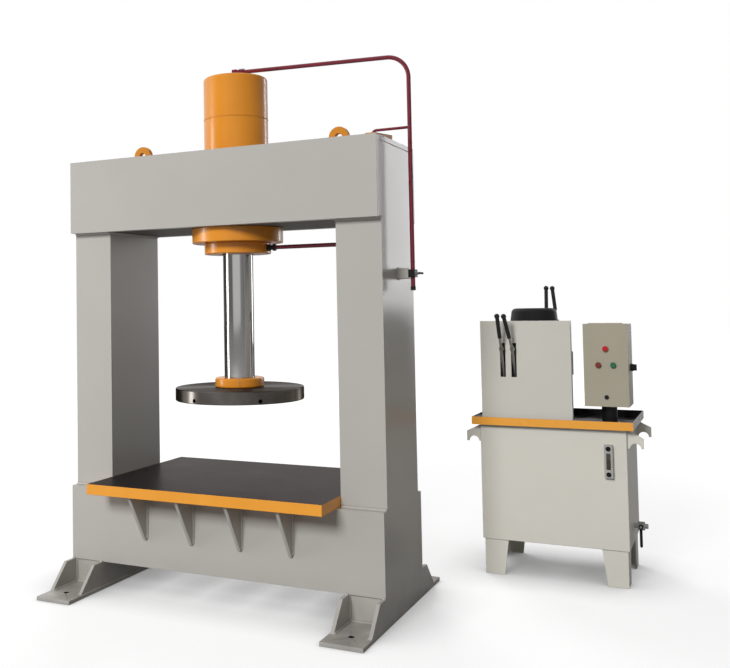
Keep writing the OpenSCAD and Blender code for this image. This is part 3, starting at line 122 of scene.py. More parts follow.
# Floor: pale matt paint that runs far past the picture's edges. To the camera it glows nearly white, more so further
# out, so that it meets the surround. Close to the machine its glow is darkened by painted contact shade. It keeps the
# machine's shadow, and it shows only weakly in gloss.
def blank(name):
    """A new material with nothing in its node tree yet."""
    finish = bpy.data.materials.new(name)
    finish.use_nodes = True
    finish.node_tree.nodes.clear()
    return finish, finish.node_tree


floor_reach, floor_sunk = 40.0, 0.0004
near_glow, far_glow, gloss_share = 0.76, 0.95, 0.22
fade_start, fade_end, contact_shade_reach = 2.0, 9.0, 0.3
floor_shape = bpy.data.meshes.new("studio_floor")
floor_shape.from_pydata([(x * floor_reach, y * floor_reach, -floor_sunk)
                         for x, y in ((-1, -1), (1, -1), (1, 1), (-1, 1))], [], [(0, 1, 2, 3)])
floor = bpy.data.objects.new("studio_floor", floor_shape)
scene.collection.objects.link(floor)
floor_paint, tree = blank("matt_floor_paint")
matt = add(tree, "BsdfDiffuse", {"Color": linear("#919191")})
path = add(tree, "LightPath").outputs
straight = add(tree, "Math", {0: path["Is Camera Ray"], 1: path["Is Transmission Ray"]}, operation="MAXIMUM")
in_gloss = add(tree, "Math", {0: path["Is Glossy Ray"], 1: gloss_share}, operation="MULTIPLY")
seen = add(tree, "Math", {0: straight.outputs[0], 1: in_gloss.outputs[0]}, operation="MAXIMUM")
# Painted contact shade: the glow darkens where the machine stands near the floor, within a short reach.
contact_shade = add(tree, "AmbientOcclusion", {"Distance": contact_shade_reach}, samples=8)
lit = add(tree, "Math", {0: seen.outputs[0], 1: contact_shade.outputs["AO"]}, operation="MULTIPLY")
outward = add(tree, "VectorMath", {0: add(tree, "NewGeometry").outputs["Position"]}, operation="LENGTH")
fade = add(tree, "MapRange", {"Value": outward.outputs["Value"], "From Min": fade_start, "From Max": fade_end,
                              "To Min": near_glow, "To Max": far_glow})
glow_strength = add(tree, "Math", {0: lit.outputs[0], 1: fade.outputs[0]}, operation="MULTIPLY")
glow = add(tree, "Emission", {"Color": linear("#ffffff"), "Strength": glow_strength.outputs[0]})
both = add(tree, "AddShader", {0: matt.outputs[0], 1: glow.outputs[0]})
add(tree, "OutputMaterial", {"Surface": both.outputs[0]})
floor_shape.materials.append(floor_paint)


# Lamps: a broad lamp high in front and a weaker one high behind on the left light the machine and aren't mirrored in
# it. A tall strip behind on the right and a narrow one on the left draw the bright bands in its gloss.
def lamp(name, place, target, width, height, watts, mirrored=True):
    """A soft oblong lamp that faces the target. The camera doesn't see it, and gloss does only where it is mirrored."""
    light = bpy.data.lights.new(name, "AREA")
    light.shape = "RECTANGLE"
    light.size = width
    light.size_y = height
    light.energy = watts
    holder = bpy.data.objects.new(name, light)
    place, target = Vector(place), Vector(target)
    holder.matrix_world = Matrix.Translation(place) @ (target - place).to_track_quat("-Z", "Y").to_matrix().to_4x4()
    holder.visible_camera = False
    holder.visible_glossy = mirrored
    scene.collection.objects.link(holder)


lamp("front_lamp", (-0.8, -13.0, 7.6), target=(0.4, 0.3, 0.9), width=4.0, height=4.0, watts=1540.0, mirrored=False)
lamp("right_strip", (7.3, 18.9, 4.2), target=(0.75, 0.0, 1.5), width=3.4, height=8.0, watts=460.0)
lamp("left_strip", (-4.6, -2.1, 1.5), target=(0.0, 0.0, 1.2), width=0.9, height=3.0, watts=66.0)
lamp("rear_lamp", (-4.0, 6.5, 8.0), target=(0.2, 0.2, 1.0), width=3.0, height=3.0, watts=420.0, mirrored=False)


# Uprights and feet: box columns and ribbed feet of welded steel plate. The whole frame is sprayed with a light grey
# machine enamel, a glossy film over plate that isn't quite flat, darker and duller near the floor, most on faces that
# face up. Its faint orange peel is drawn coarser than it is, so that it shows.
def enamel(name, shade, deep, roughness, cloud_mm, peel_mm, wave=0.0, low_darkening=0.0, coat=0.0):
    """Sprayed enamel: cloudy colour, orange peel, slow waves of the sheet under it, darker and duller towards the
    floor.
    """
    film_ior, coat_roughness, gloss_play = 1.48, 0.11, 0.06
    peel_strength, peel_depth = 0.2, 0.0006
    wave_width_mm, wave_length_mm, wave_depth = 110, 700, 0.003
    low_dark_tone, low_dark_height, fleck_mm, low_dark_dulling, steep_share = "#3d3933", 0.2, 120, 0.4, 0.6
    paint, tree = blank(name)
    coords = add(tree, "TexCoord").outputs
    place = coords["Object"]
    cloud = add(tree, "TexNoise", {"Vector": place, "Scale": 1000 / cloud_mm, "Detail": 2.0, "Roughness": 0.5})
    cloudy = add(tree, "MapRange", {"Value": cloud.outputs["Fac"], "From Min": 0.2, "From Max": 0.8})
    colour = add(tree, "Mix", {0: cloudy.outputs[0], 6: linear(deep), 7: linear(shade)}, data_type="RGBA").outputs[2]
    gloss = add(tree, "MapRange", {"Value": cloud.outputs["Fac"], "From Min": 0.3, "From Max": 0.7,
                                   "To Min": roughness * (1 - gloss_play),
                                   "To Max": roughness * (1 + gloss_play)}).outputs[0]
    # Darker and duller towards the floor, in patches, most on faces that face up.
    if low_darkening:
        rise = add(tree, "SeparateXYZ", {"Vector": place}).outputs["Z"]
        facing = add(tree, "SeparateXYZ", {"Vector": coords["Normal"]}).outputs["Z"]
        low = add(tree, "MapRange", {"Value": rise, "From Min": 0.0, "From Max": low_dark_height, "To Min": low_darkening,
                                     "To Max": 0.0})
        lying = add(tree, "MapRange", {"Value": facing, "From Min": 0.5, "From Max": 1.0, "To Min": steep_share,
                                       "To Max": 1.0})
        fleck = add(tree, "TexNoise", {"Vector": place, "Scale": 1000 / fleck_mm, "Detail": 3.0, "Roughness": 0.5})
        flecks = add(tree, "MapRange", {"Value": fleck.outputs["Fac"], "From Min": 0.2, "From Max": 0.8})
        low_dark_amount = add(tree, "Math", {0: low.outputs[0], 1: flecks.outputs[0]}, operation="MULTIPLY")
        low_dark_amount = add(tree, "Math", {0: low_dark_amount.outputs[0], 1: lying.outputs[0]}, operation="MULTIPLY", use_clamp=True)
        colour = add(tree, "Mix", {0: low_dark_amount.outputs[0], 6: colour, 7: linear(low_dark_tone)}, data_type="RGBA").outputs[2]
        gloss = add(tree, "Math", {0: low_dark_amount.outputs[0], 1: low_dark_dulling, 2: gloss},
                    operation="MULTIPLY_ADD").outputs[0]
    peel = add(tree, "TexNoise", {"Vector": place, "Scale": 1000 / peel_mm, "Detail": 2.0})
    relief = add(tree, "Bump", {"Height": peel.outputs["Fac"], "Strength": peel_strength,
                                "Distance": peel_depth}).outputs[0]
    if wave:
        stretch = add(tree, "Mapping", {"Vector": place, "Scale": (1000 / wave_width_mm, 1000 / wave_width_mm,
                                                                   1000 / wave_length_mm)})
        sheet = add(tree, "TexNoise", {"Vector": stretch.outputs[0], "Scale": 1.0, "Detail": 1.0})
        relief = add(tree, "Bump", {"Height": sheet.outputs["Fac"], "Strength": wave, "Distance": wave_depth,
                                    "Normal": relief}).outputs[0]
    film = add(tree, "BsdfPrincipled", {"Base Color": colour, "Roughness": gloss, "IOR": film_ior, "Coat Weight": coat,
                                        "Coat Roughness": coat_roughness, "Normal": relief})
    add(tree, "OutputMaterial", {"Surface": film.outputs[0]})
    return paint


def coat_nodes(material, *names):
    """Gives the named CAD pieces a finish."""
    for name in names:
        for slot in frame["nodes"][name].material_slots:
            slot.material = material


def ease(width_mm, *names):
    """Rounds the sharp edges of the named CAD pieces a little, as grinding and paint do."""
    join_reach, sharp_angle, flat_weight = 0.00002, math.radians(45), 90
    for name in names:
        piece = frame["nodes"][name]
        join = piece.modifiers.new("join", "WELD")
        join.merge_threshold = join_reach
        edge = piece.modifiers.new("edge", "BEVEL")
        edge.width = width_mm / 1000
        edge.segments = 2
        edge.limit_method = "ANGLE"
        edge.angle_limit = sharp_angle
        shade = piece.modifiers.new("shade", "WEIGHTED_NORMAL")
        shade.weight = flat_weight


grey_enamel = enamel("light_grey_machine_enamel", "#bab7b1", "#b5b2ac", roughness=0.31, cloud_mm=420, peel_mm=5,
                     wave=0.05, low_darkening=0.5)
coat_nodes(grey_enamel, "left_upright", "right_upright", "left_foot", "right_foot")
ease(4.0, "left_upright", "right_upright")
ease(1.6, "left_foot", "right_foot")

# Base and beam: thick plates on the front and rear of the uprights, tied by diaphragms, with gussets under the table
# and the beam closed above and below. Their flame-cut edges are ground. They are painted with the frame. The beam's
# underside has a rougher copy of the grey, whose darker colour is painted shade for the dark under the beam.
coat_nodes(grey_enamel, "base_front_plate", "base_rear_plate", "base_diaphragms", "beam_front_plate",
           "beam_rear_plate", "beam_top_plate", "table_gussets")
# Painted shade: the beam's underside gets a darker copy of the grey.
underside_shade_enamel = enamel("grey_enamel_with_painted_underside_shade", "#6b6964", "#57554f", roughness=0.62, cloud_mm=300, peel_mm=5)
coat_nodes(underside_shade_enamel, "beam_bottom_plate")
ease(2.5, "base_front_plate", "base_rear_plate", "beam_front_plate", "beam_rear_plate")
ease(1.5, "table_gussets", "base_diaphragms")

# Frame welds: fillet welds along the corners of the frame's plates. Each is a rippled bead of filler metal, painted
# over with the frame. The seams between the base's ends and the feet are filled and ground flush.
draw = random.Random(11)
ripple_pitch, crest, trough, stray = 0.007, 0.10, -0.04, 0.05


def swell(leg, ring):
    """How far a bead stands out at one of its rings: crests and troughs by turns, no two quite alike."""
    return leg * (1.0 + (crest if ring % 2 else trough) + draw.uniform(-stray, stray))


def loft(shape, loops, ring=False, smooth_sides=0):
    """Joins a row of like loops of points with faces, and closes the row's two ends unless it runs in a ring."""
    count = len(loops[0])
    for one, two in zip(loops, loops[1:] + loops[:1] if ring else loops[1:]):
        for k in range(count):
            face = shape.faces.new((one[k], one[(k + 1) % count], two[(k + 1) % count], two[k]))
            face.smooth = k < smooth_sides
    if not ring:
        shape.faces.new(loops[0][::-1])
        shape.faces.new(loops[-1])


def bead(shape, start, end, along_face, along_other, leg):
    """A fillet weld in the corner from start to end, between faces that run off in the two given directions."""
    profile = ((1.0, -0.06), (0.74, 0.34), (0.56, 0.56), (0.34, 0.74), (-0.06, 1.0), (-0.08, -0.08))
    open_sides, end_share = 4, 0.7
    start, end = Vector(start), Vector(end)
    u, v = Vector(along_face), Vector(along_other)
    last = max(3, int(2 * (end - start).length / ripple_pitch))
    loops = []
    for i in range(last + 1):
        at = start.lerp(end, i / last)
        size = swell(leg, i) * (end_share if i in (0, last) else 1.0)
        loops.append([shape.verts.new(at + u * (a * size) + v * (b * size)) for a, b in profile])
    loft(shape, loops, smooth_sides=open_sides)


def piece_from(shape, name, material, body):
    """Turns a finished bmesh into a piece that rides on a body."""
    bmesh.ops.recalc_face_normals(shape, faces=shape.faces)
    mesh = bpy.data.meshes.new(name)
    shape.to_mesh(mesh)
    shape.free()
    mesh.materials.append(material)
    piece = bpy.data.objects.new(name, mesh)
    scene.collection.objects.link(piece)
    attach(piece, body)


up, down = (0, 0, 1), (0, 0, -1)
column_inner, column_outer = 0.555, 0.750
column_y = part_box("left_upright")[1].y
base_low, base_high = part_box("base_front_plate")
beam_low, beam_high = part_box("beam_front_plate")
cheek_y = -beam_low.y
foot_plate_t = 0.016
rib_outer, rib_inner, rib_half = 0.735, 0.597, 0.0075
rib_middles = (0.5895, 0.7425)
cross_wall_y, rib_foot_y, rib_top, rib_seam_z = 0.230, 0.398, 0.118, 0.120
gusset_xs = (-0.351, -0.117, 0.117, 0.351)
gusset_half, gusset_low, gusset_end = 0.0075, 0.246, 0.364
table_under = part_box("table_plate")[0].z
frame_leg, foot_leg = 0.009, 0.007
seam_half, seam_depth, seam_proud, seam_short = 0.006, 0.006, 0.0003, 0.002
shape = bmesh.new()
for side in (-1, 1):
    inner, outer = side * column_inner, side * column_outer
    for end in (-1, 1):
        y, wall, cheek, off = end * column_y, end * cross_wall_y, end * cheek_y, (0, end, 0)
        bead(shape, (inner, y, base_high.z), (outer, y, base_high.z), off, up, frame_leg)
        bead(shape, (inner, y, beam_low.z), (outer, y, beam_low.z), off, down, frame_leg)
        bead(shape, (side * rib_outer, wall, foot_plate_t), (side * rib_inner, wall, foot_plate_t), off, up, foot_leg)
        for face, way in ((rib_outer, -side), (rib_inner, side)):
            x, corner = side * face, (side * face, wall, foot_plate_t)
            bead(shape, corner, (x, end * rib_foot_y, foot_plate_t), (way, 0, 0), up, foot_leg)
            bead(shape, corner, (x, wall, rib_top), (way, 0, 0), off, foot_leg)
        for middle in rib_middles:
            near, far = side * (middle - rib_half), side * (middle + rib_half)
            bead(shape, (near, cheek, rib_seam_z), (far, cheek, rib_seam_z), off, up, foot_leg)
    bead(shape, (inner, -column_y, beam_low.z), (inner, column_y, beam_low.z), (-side, 0, 0), down, frame_leg)
for x in gusset_xs:
    for end in (-1, 1):
        for side in (-1, 1):
            corner = (x + side * gusset_half, end * cheek_y, table_under)
            bead(shape, (corner[0], corner[1], gusset_low), corner, (side, 0, 0), (0, end, 0), foot_leg)
            bead(shape, corner, (corner[0], end * gusset_end, table_under), (side, 0, 0), down, foot_leg)
for side in (-1, 1):
    middle = Vector((side * (column_outer + seam_proud - seam_depth / 2), 0.0, base_low.z))
    bmesh.ops.create_cube(shape, size=1.0, matrix=Matrix.Translation(middle)
                          @ Matrix.Diagonal((seam_depth, 2 * cheek_y - seam_short, 2 * seam_half, 1.0)))
piece_from(shape, "frame_welds", grey_enamel, "press")

# Table: a thick steel plate on the base's gussets. Its face is ground, oiled and dark, with a low mirror shine and
# grinding marks along it, drawn coarser than they are. Its edges carry a band of orange enamel.
blotch_mm, grind_length_mm, grind_width_mm, grind_depth, edge_cloud_mm = 260, 420, 5, 0.0003, 160
table_finish, tree = blank("ground_steel_with_orange_edges")
coords = add(tree, "TexCoord").outputs
place = coords["Object"]
facing = add(tree, "SeparateXYZ", {"Vector": coords["Normal"]}).outputs["Z"]
is_face = add(tree, "Math", {0: facing, 1: 0.75}, operation="GREATER_THAN").outputs[0]
blotch = add(tree, "TexNoise", {"Vector": place, "Scale": 1000 / blotch_mm, "Detail": 6.0, "Roughness": 0.62})
blotched = add(tree, "MapRange", {"Value": blotch.outputs["Fac"], "From Min": 0.3, "From Max": 0.7})
grind_place = add(tree, "Mapping", {"Vector": place, "Scale": (1000 / grind_length_mm, 1000 / grind_width_mm, 1.0)})
grind = add(tree, "TexNoise", {"Vector": grind_place.outputs[0], "Scale": 1.0, "Detail": 4.0, "Roughness": 0.7})
steel_tone = add(tree, "Mix", {0: blotched.outputs[0], 6: linear("#575453"), 7: linear("#6b6867")}, data_type="RGBA")
oiled = add(tree, "MapRange", {"Value": blotch.outputs["Fac"], "From Min": 0.3, "From Max": 0.7, "To Min": 0.30,
                               "To Max": 0.42})
steel_bump = add(tree, "Bump", {"Height": grind.outputs["Fac"], "Strength": 0.12, "Distance": grind_depth})
steel_face = add(tree, "BsdfPrincipled", {"Base Color": steel_tone.outputs[2], "Metallic": 1.0,
                                          "Roughness": oiled.outputs[0], "Specular Tint": linear("#bcb8b8"),
                                          "Normal": steel_bump.outputs[0]})
edge_cloud = add(tree, "TexNoise", {"Vector": place, "Scale": 1000 / edge_cloud_mm, "Detail": 4.0})
edge_tone = add(tree, "Mix", {0: edge_cloud.outputs["Fac"], 6: linear("#ea982c"), 7: linear("#f6ab40")},
                data_type="RGBA")
edge_paint = add(tree, "BsdfPrincipled", {"Base Color": edge_tone.outputs[2], "Roughness": 0.34, "IOR": 1.48})
pick = add(tree, "MixShader", {0: is_face, 1: edge_paint.outputs[0], 2: steel_face.outputs[0]})
add(tree, "OutputMaterial", {"Surface": pick.outputs[0]})
coat_nodes(table_finish, "table_plate")
ease(2.0, "table_plate")

# Cylinder: a flanged barrel bolted up under the beam, a cap welded on it, a bolted gland and, at the rod's end, a split
# collar. Their orange machine enamel is glossier than the grey and shows the light as soft upright bands.
orange_enamel = enamel("gloss_orange_machine_enamel", "#e8962c", "#dc8a22", roughness=0.30, cloud_mm=240, peel_mm=4,
                       coat=0.25)
coat_nodes(orange_enamel, "cylinder_barrel", "cylinder_cap", "gland", "collar_left", "collar_right")

# Lugs and cleat: steel plates, cut by flame and welded on top of the beam. They are brushed with the same orange, which
# dries duller and less even than the sprayed coat.
satin_orange = enamel("brushed_orange_enamel", "#d98f30", "#c57d24", roughness=0.55, cloud_mm=120, peel_mm=5)
coat_nodes(satin_orange, "lifting_lugs", "beam_cleat")
ease(2.0, "lifting_lugs")
ease(1.0, "beam_cleat")

# Orange welds: a bead along each side of both lifting lugs and along three sides of the cleat, and the ring that joins
# the cap to the barrel, which fills the groove between them. They are painted with the brushed orange.
lug_xs, lug_half = (-0.5, 0.5), 0.043
lug_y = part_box("lifting_lugs")[1].y
lug_leg, cleat_leg, ring_leg = 0.008, 0.0045, 0.0032
cleat_low, cleat_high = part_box("beam_cleat")
beam_top = beam_high.z
ring_r, ring_z, ring_sides = 0.1428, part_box("cylinder_cap")[0].z, 8
shape = bmesh.new()
for x in lug_xs:
    for side in (-1, 1):
        y = side * lug_y
        bead(shape, (x - lug_half, y, beam_top), (x + lug_half, y, beam_top), (0, side, 0), up, lug_leg)
for x, side in ((cleat_low.x, -1), (cleat_high.x, 1)):
    bead(shape, (x, cleat_low.y, beam_top), (x, cleat_high.y, beam_top), (side, 0, 0), up, cleat_leg)
bead(shape, (cleat_low.x, cleat_high.y, beam_top), (cleat_high.x, cleat_high.y, beam_top), (0, 1, 0), up, lug_leg)
loops = []
steps = 2 * int(2 * math.pi * ring_r / ripple_pitch)
for i in range(steps):
    angle = 2 * math.pi * i / steps
    outward = Vector((math.cos(angle), math.sin(angle), 0.0))
    size = swell(ring_leg, i)
    turns = [2 * math.pi * k / ring_sides for k in range(ring_sides)]
    loops.append([shape.verts.new(outward * (ring_r + size * math.cos(turn))
                                  + Vector((0.0, 0.0, ring_z + size * math.sin(turn)))) for turn in turns])
loft(shape, loops, ring=True, smooth_sides=ring_sides)
piece_from(shape, "orange_welds", satin_orange, "press")

# Bolts and fittings: blackened steel socket screws, the fitting screwed into the gland and the drain's lever. The oxide
# leaves a dull blue-black with a little shine in patches.
oxide_patch_mm = 9
black_steel, tree = blank("blackened_steel")
place = add(tree, "TexCoord").outputs["Object"]
patch = add(tree, "TexNoise", {"Vector": place, "Scale": 1000 / oxide_patch_mm, "Detail": 5.0})
tone = add(tree, "Mix", {0: patch.outputs["Fac"], 6: linear("#17171a"), 7: linear("#333336")}, data_type="RGBA")
shine = add(tree, "MapRange", {"Value": patch.outputs["Fac"], "To Min": 0.30, "To Max": 0.55})
metal = add(tree, "BsdfPrincipled", {"Base Color": tone.outputs[2], "Metallic": 0.7, "Roughness": shine.outputs[0]})
add(tree, "OutputMaterial", {"Surface": metal.outputs[0]})
coat_nodes(black_steel, "cylinder_bolts", "collar_bolts", "gland_fitting", "drain_lever")

# Anchor holes: the four holes drilled through the feet for the anchor bolts. A thin dark skin lines each wall; it is
# partly the bare steel of the bore gone dark, and partly painted shade deep in the hole.
hole_x, hole_y, hole_r, hole_shade_skin, hole_steps = 0.666, 0.397, 0.011, 0.0004, 48
# Painted shade, in part: the dark skin inside each hole.
shape = bmesh.new()
for x, y in ((-hole_x, -hole_y), (-hole_x, hole_y), (hole_x, -hole_y), (hole_x, hole_y)):
    rims = []
    for radius, z in ((hole_r, foot_plate_t), (hole_r - hole_shade_skin, foot_plate_t), (hole_r - hole_shade_skin, 0.0),
                      (hole_r, 0.0)):
        turns = [2 * math.pi * k / hole_steps for k in range(hole_steps)]
        rims.append([shape.verts.new((x + radius * math.cos(turn), y + radius * math.sin(turn), z)) for turn in turns])
    loft(shape, rims, ring=True)
piece_from(shape, "anchor_hole_steel_and_shade_skins", black_steel, "press")

# Ram: a steel rod, hard-chromed, ground and polished. It is a mirror with the faintest grind round it, drawn coarser
# than it is, under a film of oil that darkens its sides.
ring_mm, ring_length_mm = 2, 30
chrome, tree = blank("hard_chrome")
place = add(tree, "TexCoord").outputs["Object"]
ring_place = add(tree, "Mapping", {"Vector": place, "Scale": (1000 / ring_length_mm, 1000 / ring_length_mm,
                                                              1000 / ring_mm)})
rings = add(tree, "TexNoise", {"Vector": ring_place.outputs[0], "Scale": 1.0, "Detail": 3.0})
polish = add(tree, "MapRange", {"Value": rings.outputs["Fac"], "From Min": 0.3, "From Max": 0.7, "To Min": 0.05,
                                "To Max": 0.10})
mirror = add(tree, "BsdfPrincipled", {"Base Color": linear("#cfcdcc"), "Metallic": 1.0, "Roughness": polish.outputs[0],
                                      "Specular Tint": linear("#5c5b5a")})
add(tree, "OutputMaterial", {"Surface": mirror.outputs[0]})
coat_nodes(chrome, "ram_rod")

# Press disc: a turned steel disc, bare and lightly oiled, held on the rod by the bolted collar. The tool marks run
# round it, drawn coarser than they are, so its face shows bright fans, and its rim is darker.
groove_mm, groove_depth, stain_mm = 3, 0.0003, 120
turned, tree = blank("turned_steel")
place = add(tree, "TexCoord").outputs["Object"]
parts = add(tree, "SeparateXYZ", {"Vector": place}).outputs
reach = add(tree, "Math", {0: parts["X"], 1: parts["X"]}, operation="MULTIPLY")
reach = add(tree, "Math", {0: parts["Y"], 1: parts["Y"], 2: reach.outputs[0]}, operation="MULTIPLY_ADD")
radius = add(tree, "Math", {0: reach.outputs[0]}, operation="SQRT")
groove_place = add(tree, "CombineXYZ", {"X": radius.outputs[0]})
groove = add(tree, "TexNoise", {"Vector": groove_place.outputs[0], "Scale": 1000 / groove_mm, "Detail": 3.0,
                                "Roughness": 0.7})
stain = add(tree, "TexNoise", {"Vector": place, "Scale": 1000 / stain_mm, "Detail": 5.0})
stained = add(tree, "MapRange", {"Value": stain.outputs["Fac"], "From Min": 0.35, "From Max": 0.65})
tone = add(tree, "Mix", {0: stained.outputs[0], 6: linear("#726c67"), 7: linear("#8c8782")}, data_type="RGBA")
shine = add(tree, "MapRange", {"Value": groove.outputs["Fac"], "From Min": 0.3, "From Max": 0.7, "To Min": 0.24,
                               "To Max": 0.36})
bump = add(tree, "Bump", {"Height": groove.outputs["Fac"], "Strength": 0.10, "Distance": groove_depth})
around = add(tree, "Tangent", direction_type="RADIAL", axis="Z")
metal = add(tree, "BsdfPrincipled", {"Base Color": tone.outputs[2], "Metallic": 1.0, "Roughness": shine.outputs[0],
                                     "Anisotropic": 0.92, "Anisotropic Rotation": 0.25,
                                     "Tangent": around.outputs[0], "Specular Tint": linear("#8f8b88"),
                                     "Normal": bump.outputs[0]})
add(tree, "OutputMaterial", {"Surface": metal.outputs[0]})
coat_nodes(turned, "press_disc", "piston", "motor_rotor")

# Seals: the wiper in the gland's mouth and the two rings in the piston's grooves. They are moulded in black rubber,
# matt and faintly grained.
rubber_grain_mm = 2
rubber, tree = blank("seal_rubber")
place = add(tree, "TexCoord").outputs["Object"]
grain = add(tree, "TexNoise", {"Vector": place, "Scale": 1000 / rubber_grain_mm, "Detail": 2.0})
tone = add(tree, "Mix", {0: grain.outputs["Fac"], 6: linear("#121212"), 7: linear("#242424")}, data_type="RGBA")
skin = add(tree, "BsdfPrincipled", {"Base Color": tone.outputs[2], "Roughness": 0.7})
add(tree, "OutputMaterial", {"Surface": skin.outputs[0]})
coat_nodes(rubber, "rod_wiper", "piston_seals")

# Pipes: bent steel tube, the elbow that screws into the cap and a stay rod between pipe and beam. All are in gloss
# maroon paint, brushed on by hand.
maroon_enamel = enamel("gloss_maroon_enamel", "#7e2033", "#651829", roughness=0.28, cloud_mm=90, peel_mm=6, coat=0.3)
coat_nodes(maroon_enamel, "pressure_pipe", "return_pipe", "stay_rod", "cap_elbow")

# Pipe clips: blocks moulded in dull black plastic, on pads that are welded to the right upright, and push-on caps over
# the pipes' open ends. Two zinc-plated studs, bright and faintly patchy, hold each clip, with a washer, a nut and a
# black cap on the stud's end.
clip_plastic = enamel("moulded_black_plastic", "#1d1d1e", "#151516", roughness=0.5, cloud_mm=30, peel_mm=1)
coat_nodes(clip_plastic, "pipe_clips", "pipe_caps", "main_switch")
ease(2.0, "pipe_clips")
zinc_patch_mm = 6
plated, tree = blank("zinc_plated_steel")
place = add(tree, "TexCoord").outputs["Object"]
patch = add(tree, "TexNoise", {"Vector": place, "Scale": 1000 / zinc_patch_mm, "Detail": 4.0})
tone = add(tree, "Mix", {0: patch.outputs["Fac"], 6: linear("#a3a29e"), 7: linear("#c9c8c4")}, data_type="RGBA")
metal = add(tree, "BsdfPrincipled", {"Base Color": tone.outputs[2], "Metallic": 1.0, "Roughness": 0.32})
add(tree, "OutputMaterial", {"Surface": metal.outputs[0]})


def turned_stack(shape, place, axis, steps):
    """Round or hexagonal lengths on one axis: (radius, length, sides) one after another from the place."""
    chamfer_share, most_flats = 0.12, 12
    z = Vector(axis).normalized()
    upright = z.to_track_quat("Z", "Y").to_matrix().to_4x4()
    start = Vector(place)
    for radius, length, sides in steps:
        made = bmesh.ops.create_cone(shape, cap_ends=True, segments=sides, radius1=radius, radius2=radius, depth=length,
                                     matrix=Matrix.Translation(start + z * (length / 2)) @ upright)
        faces = {f for v in made["verts"] for f in v.link_faces}
        for f in faces:
            f.smooth = len(f.verts) == 4 and sides > most_flats
        rims = {e for f in faces if len(f.verts) != 4 for e in f.edges}
        bmesh.ops.bevel(shape, geom=list(rims), offset=min(radius, length) * chamfer_share, segments=1, affect="EDGES")
        start = start + z * length


stud_half, cap_overlap = 0.0145, 0.004
outer_clip_x, inner_clip_x = 0.826, 0.479
outer_clip_z, inner_clip_z, inner_clip_y = 1.383, 1.5155, 0.100
washer, nut, stud, stud_cap = (0.0062, 0.0016, 24), (0.0056, 0.0065, 6), (0.0034, 0.012, 16), (0.0044, 0.009, 16)
stud_places = [((outer_clip_x, side * stud_half, outer_clip_z), (1, 0, 0)) for side in (-1, 1)]
stud_places += [((inner_clip_x, inner_clip_y, inner_clip_z + side * stud_half), (-1, 0, 0)) for side in (-1, 1)]
bolts, caps = bmesh.new(), bmesh.new()
for place, axis in stud_places:
    turned_stack(bolts, place, axis, (washer, nut, stud))
    tip = Vector(place) + Vector(axis) * (washer[1] + nut[1] + stud[1] - cap_overlap)
    turned_stack(caps, tip, axis, (stud_cap,))
piece_from(bolts, "clip_bolts", plated, "press")
piece_from(caps, "clip_bolt_caps", clip_plastic, "press")
pad_leg, pad_long, pad_short = 0.005, 0.022, 0.015
pads = ((column_outer, 1, 0.0, outer_clip_z, pad_short, pad_long),
        (column_inner, -1, inner_clip_y, inner_clip_z, pad_long, pad_short))
shape = bmesh.new()
for x, way, y, z, half_y, half_z in pads:
    for side in (-1, 1):
        edge_y, edge_z, off = y + side * half_y, z + side * half_z, (way, 0, 0)
        bead(shape, (x, y - half_y, edge_z), (x, y + half_y, edge_z), off, (0, 0, side), pad_leg)
        bead(shape, (x, edge_y, z - half_z), (x, edge_y, z + half_z), off, (0, side, 0), pad_leg)
piece_from(shape, "pad_welds", grey_enamel, "press")

# Tank, legs, ears and guard: folded and welded sheet, sprayed in a warm off-white enamel, satin and a little uneven
# over the wide panels. The ears are welded to the tank's sides, and the guard has a greyer, darker copy of the enamel.
cream_enamel = enamel("off_white_enamel", "#e6e3d9", "#e0dcd1", roughness=0.38, cloud_mm=320, peel_mm=4, wave=0.08,
                      low_darkening=0.05)
coat_nodes(cream_enamel, "tank", "tank_legs", "tank_ears")
guard_enamel = enamel("greyed_off_white_enamel", "#d9d6cd", "#d3cfc5", roughness=0.40, cloud_mm=320, peel_mm=4,
                      wave=0.08)
coat_nodes(guard_enamel, "motor_guard")
ease(3.0, "tank")
ease(1.0, "tank_legs", "tank_ears", "motor_guard")
tank_low, tank_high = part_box("tank")
ears_low, ears_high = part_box("tank_ears")
ear_t, ear_leg, ear_margin = 0.008, 0.005, 0.004
bead_low, bead_high = ears_low.z + ear_margin, ears_high.z - ear_margin
shape = bmesh.new()
for x, way in ((tank_low.x, -1), (tank_high.x, 1)):
    for y in (ears_low.y + ear_t / 2, ears_high.y - ear_t / 2):
        for side in (-1, 1):
            face = y + side * ear_t / 2
            bead(shape, (x, face, bead_low), (x, face, bead_high), (way, 0, 0), (0, side, 0), ear_leg)
piece_from(shape, "tank_welds", cream_enamel, "press")

# Drip tray: a shallow tray of folded sheet on top of the tank. It is glossy black inside, with a film of oil in
# patches, orange on its front rim and off-white on the other outer sides.
tray_low, tray_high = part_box("drip_tray")
skin_depth, oil_patch_mm = 0.0008, 90
tray_finish, tree = blank("black_tray_with_orange_front")
place = add(tree, "TexCoord").outputs["Object"]
parts = add(tree, "SeparateXYZ", {"Vector": place}).outputs
front = add(tree, "Math", {0: parts["Y"], 1: tray_low.y + skin_depth}, operation="LESS_THAN").outputs[0]
left = add(tree, "Math", {0: parts["X"], 1: tray_low.x + skin_depth}, operation="LESS_THAN").outputs[0]
right = add(tree, "Math", {0: parts["X"], 1: tray_high.x - skin_depth}, operation="GREATER_THAN").outputs[0]
rear = add(tree, "Math", {0: parts["Y"], 1: tray_high.y - skin_depth}, operation="GREATER_THAN").outputs[0]
sides = add(tree, "Math", {0: left, 1: right}, operation="MAXIMUM").outputs[0]
sides = add(tree, "Math", {0: sides, 1: rear}, operation="MAXIMUM").outputs[0]
oil = add(tree, "TexNoise", {"Vector": place, "Scale": 1000 / oil_patch_mm, "Detail": 5.0})
